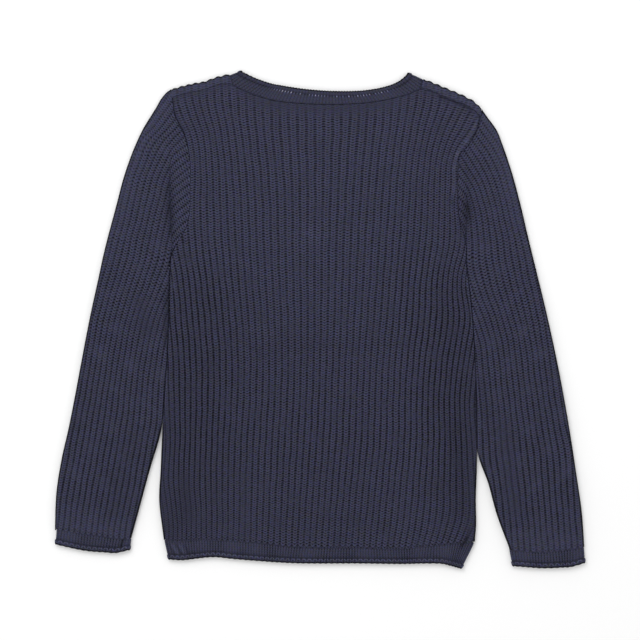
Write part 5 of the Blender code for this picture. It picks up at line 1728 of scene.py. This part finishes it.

# Across the turned shoulder, from the underside round the fold to the seam: the distance inside the fold and
# the height, of the outer face and of the inner one, what a rib adds to reach and height, and the painted
# shade, darkest where the fold turns away from the light. -1 is the seam.
SHOULDER_TURN = columns(
    "inside height under_inside under_height scallop rib shade",
    (0.9, 0.6, 2.7, 2.50, 0.0, 0.0, 0.70),
    (0.3, 1.2, 2.5, 2.60, 0.4, 0.0, 0.55),
    (0.0, 2.1, 2.4, 2.70, 0.9, 0.0, 0.35),
    (0.0, 3.0, 2.4, 2.80, 1.1, 0.0, 0.15),
    (0.0, 3.8, 2.4, 2.90, 1.1, 0.2, 0.06),
    (0.4, 4.6, 2.5, 3.00, 0.9, 0.5, 0.06),
    (1.1, 5.2, 2.7, 3.10, 0.6, 0.7, 0.10),
    (1.7, 5.5, 3.0, 3.15, 0.3, 0.8, 0.95),
    (2.6, 5.7, 3.2, 3.20, 0.0, 0.6, 1.0),
    (3.8, 5.8, 3.8, 3.20, 0.0, 0.5, 1.0),
    (5.0, 5.8, 5.0, 3.20, 0.0, 0.5, 1.0),
    (6.2, 5.7, 6.2, 3.20, 0.0, 0.5, 1.0),
    (7.2, 5.6, 7.2, 3.20, 0.0, 0.5, 1.0),
    (-1.0, 5.2, -1.0, 3.20, 0.0, 0.4, 1.0),
)
print(len(SHOULDER_TURN["inside"]), "points across a turned shoulder")

# %% [markdown]
# ## The crown of the plate
#
# The plate's upper edge is one line: the left shoulder, the round neck and the right shoulder. Its points
# on the shoulders are as far apart as the strips need, and those round the neck lie at equal lengths.

# %% The crown
SHOULDER_RADIUS = 3.0
SHOULDER_STEPS = 8
NECK_STEPS = 32


def shoulder_edge(x):
    """The outermost line of the folded shoulders."""
    return np.interp(x, SHOULDER_EDGE["x"], SHOULDER_EDGE["y"])


def front_crown():
    """The top edge of the plate: left shoulder, the half ellipse of the neck, right shoulder."""
    layer = front_neck()
    seam = np.column_stack([layer["seam_x"], layer["seam_y"]])
    edge = np.column_stack([layer["edge_x"], layer["edge_y"]])
    toward = (edge - seam) / np.linalg.norm(edge - seam, axis=1)[:, None]
    neck = seam - toward * SEAM_GAP / 2
    lengths = along(neck)
    where = np.linspace(0.0, lengths[-1], NECK_STEPS + 1)[1:-1]
    neck = np.column_stack([np.interp(where, lengths, neck[:, axis]) for axis in (0, 1)])
    left, right = (np.linspace(*SHOULDER_SPANS[name], SHOULDER_STEPS + 1) for name in ("left", "right"))
    left = np.column_stack([left, shoulder_edge(left) - SHOULDER_RADIUS])
    right = np.column_stack([right, shoulder_edge(right) - SHOULDER_RADIUS])
    return np.concatenate([left, neck, right])


print("points of the crown:", len(front_crown()))

# %% [markdown]
# ## The turned shoulders
#
# Over each shoulder the ribs of the front come up from below, round the fold and down to the seam, each a
# little scallop against the light. The strip's outer face is dense and its inner face coarse, like the
# back's. At the neck it closes on to the neckband, and its last row is dashed with dark where the seam
# pulls the valleys down.

# %% A strip over a shoulder
SHOULDER_GAP = 0.12
LEAST_TURN = 0.3  # how far a strip stays off the seam before its last row
STRIP_LEAN = {"left": (0.0, 0.25), "right": (-0.25, -0.10)}  # how far each end moves right for each mm down
STRIP_CLOSE = {"left": (0.0, 0.7), "right": (-0.7, 0.0)}  # and how far it moves on to the neckband, in mm
CLOSE_HEIGHTS = (3.8, 5.2)
STRIP_SOFT = 0.5
STRIP_DASHES = {"left": 0.15, "right": 0.7}
DASH_CREST = (0.05, 0.35)


def shoulder_line(x, inside):
    """The line at a distance inside the folded shoulder, or the shoulder seam where that is below 0."""
    seam = curve(BACK_TOP, "x", "y", x) - SEAM_GAP / 2 + SHOULDER_GAP
    return np.where(inside < 0, seam, np.maximum(shoulder_edge(x) - inside, seam + LEAST_TURN))


def strip_x(name, inside, closing, count):
    """x = equal steps between two ends, each moved by lean x drop + close x closing."""
    ends = np.array(SHOULDER_SPANS[name])
    drop = shoulder_line(ends, 0.0) - shoulder_line(ends, inside)
    reach = ends + np.array(STRIP_LEAN[name]) * drop + np.array(STRIP_CLOSE[name]) * closing
    return reach[:, :1] + (reach[:, 1:] - reach[:, :1]) * np.linspace(0.0, 1.0, count)


def turned_shoulder(cloth, name, plate_outer, plate_inner):
    """The strip over one shoulder: a dense outer face, a coarse inner one, and one face at each end."""
    turn = {key: value[:, None] for key, value in SHOULDER_TURN.items()}
    x = strip_x(name, turn["inside"], ease(turn["height"], *CLOSE_HEIGHTS), SHOULDER_STEPS * STEP + 1)
    y = shoulder_line(x, turn["inside"])
    rib = body_rib(x, y)
    row = body_row(x, y)
    z = turn["height"] + turn["rib"] * (relief(rib, row) / RIB_HEIGHT)
    # Painted shade, darkest where the fold turns away from the light; the last row is dashed with the seam's
    # dark.
    shade = np.broadcast_to(turn["shade"], x.shape).copy()
    shade[-1] *= 1.0 - STRIP_DASHES[name] * ease(crest(rib[-1]), *DASH_CREST)
    scalloped = y + turn["scallop"] * crest(rib)
    outer = cloth.grid(np.stack([x, scalloped, z], axis=-1), rib, row, shade, 0.0, STRIP_SOFT)
    x = strip_x(name, turn["under_inside"], 0.0, SHOULDER_STEPS + 1)
    y = shoulder_line(x, turn["under_inside"])
    z = np.broadcast_to(turn["under_height"], x.shape)
    inner = cloth.grid(np.stack([x, y, z], axis=-1), body_rib(x, y), body_row(x, y))
    cloth.strip(outer[0], plate_outer)
    cloth.ladder(plate_inner, inner[0])
    cloth.strip(outer[-1], inner[-1])
    for end in (0, -1):
        loop = [plate_outer[end], *outer[:, end], *inner[::-1, end], plate_inner[end]]
        cloth.faces.append([int(number) for number in loop])


print("right strip's ends at the seam:", np.round(strip_x("right", np.full((1, 1), -1.0), 1.0, 2), 1), "mm")

# %% [markdown]
# ## The plate
#
# The plate runs from the hem's seam up to the crown. Its columns are spread like the crown's points, and
# bend over from the straight sides to the shoulders near the top. It is flat where it rests, with a low
# round rim.

# %% The front panel as one closed cloth
PLATE_RIM = 1.1
PLATE_ROWS = 97
PLATE_BOTTOM = -222.0  # a first guess of the hem's seam, from which the rows are corrected
PLATE_BEND = 4  # the power of the height's share with which columns bend towards the crown


def plate_grid(crown):
    """x = left + (right - left) x spread, drawn to the crown by t to the power of bend, y = seam to crown."""
    spread = (crown[:, 0] - crown[0, 0]) / (crown[-1, 0] - crown[0, 0])
    t = np.linspace(0.0, 1.0, PLATE_ROWS)[:, None]
    y = PLATE_BOTTOM + (crown[:, 1] - PLATE_BOTTOM) * t
    for _ in range(4):
        left = side("left", y) + SEAM_GAP / 2
        right = side("right", y) - SEAM_GAP / 2
        x = left + (right - left) * spread
        x = x + (crown[:, 0] - x) * t**PLATE_BEND
        bottom = curve(HEM_SEAM, "x", "y", x) + SEAM_GAP / 2
        y = bottom + (crown[:, 1] - bottom) * t
    return x, y


def front_panel():
    """The plate's underside and inside, their rim at the sides, the hem and the neck, and the two strips."""
    cloth = Cloth()
    crown = front_crown()
    x, y = plate_grid(crown)
    rib = body_rib(x, y)
    row = body_row(x, y)
    level, shade, _ = folds(UNDER_FOLDS, x, y)
    level[:, [0, -1]] = PLATE_RIM
    outer = cloth.grid(np.stack([x, y, level], axis=-1), rib, row, shade)
    inner = cloth.grid(np.stack([x, y, np.full(x.shape, WALL)], axis=-1), rib, row)
    cloth.ladder(outer[:, 0], inner[:, 0])
    cloth.ladder(outer[:, -1], inner[:, -1])
    cloth.ladder(outer[0], inner[0])
    neck = slice(SHOULDER_STEPS, len(crown) - SHOULDER_STEPS)
    cloth.ladder(outer[-1, neck], inner[-1, neck])
    for name, part in (("left", slice(0, SHOULDER_STEPS + 1)), ("right", slice(-SHOULDER_STEPS - 1, None))):
        turned_shoulder(cloth, name, outer[-1, part], inner[-1, part])
    return cloth.make("front_panel_cloth", RIB_KNIT)


front = front_panel()

# %% [markdown]
# ## Hand over
#
# Last, each cloth is hung on the sweater's root, and the solid of the model that it replaces is hidden. The
# table also lists the finish of each piece and its flat size, that of the piece as it lies, and all round
# where it is a tube. The area is listed where the piece is cut to a shape, and the bands are plain strips.

# %% Hand over
PIECES = (
    (back, "back_panel", "body_rib", (0.322, 0.464), 0.1322, ["front_panel"]),
    (front, "front_panel", "body_rib", (0.322, 0.480), 0.1290, ["floor"]),
    (sleeve_cloths["left"], "sleeve_left", "body_rib", (0.270, 0.450), 0.0700, ["floor"]),
    (sleeve_cloths["right"], "sleeve_right", "body_rib", (0.250, 0.443), 0.0680, ["floor"]),
    (hem, "hem", "band_rib", (0.620, 0.026), None, ["floor"]),
    (cuff_left, "cuff_left", "band_rib", (0.144, 0.024), None, ["floor"]),
    (cuff_right, "cuff_right", "band_rib", (0.144, 0.024), None, ["floor"]),
    (neckband, "neckband", "neck_rib", (0.460, 0.019), None, ["floor"]),
)
for piece, node, slot, flat, area, rests_on in PIECES:
    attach(piece, "root")
    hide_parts(node)

bpy.context.view_layer.update()
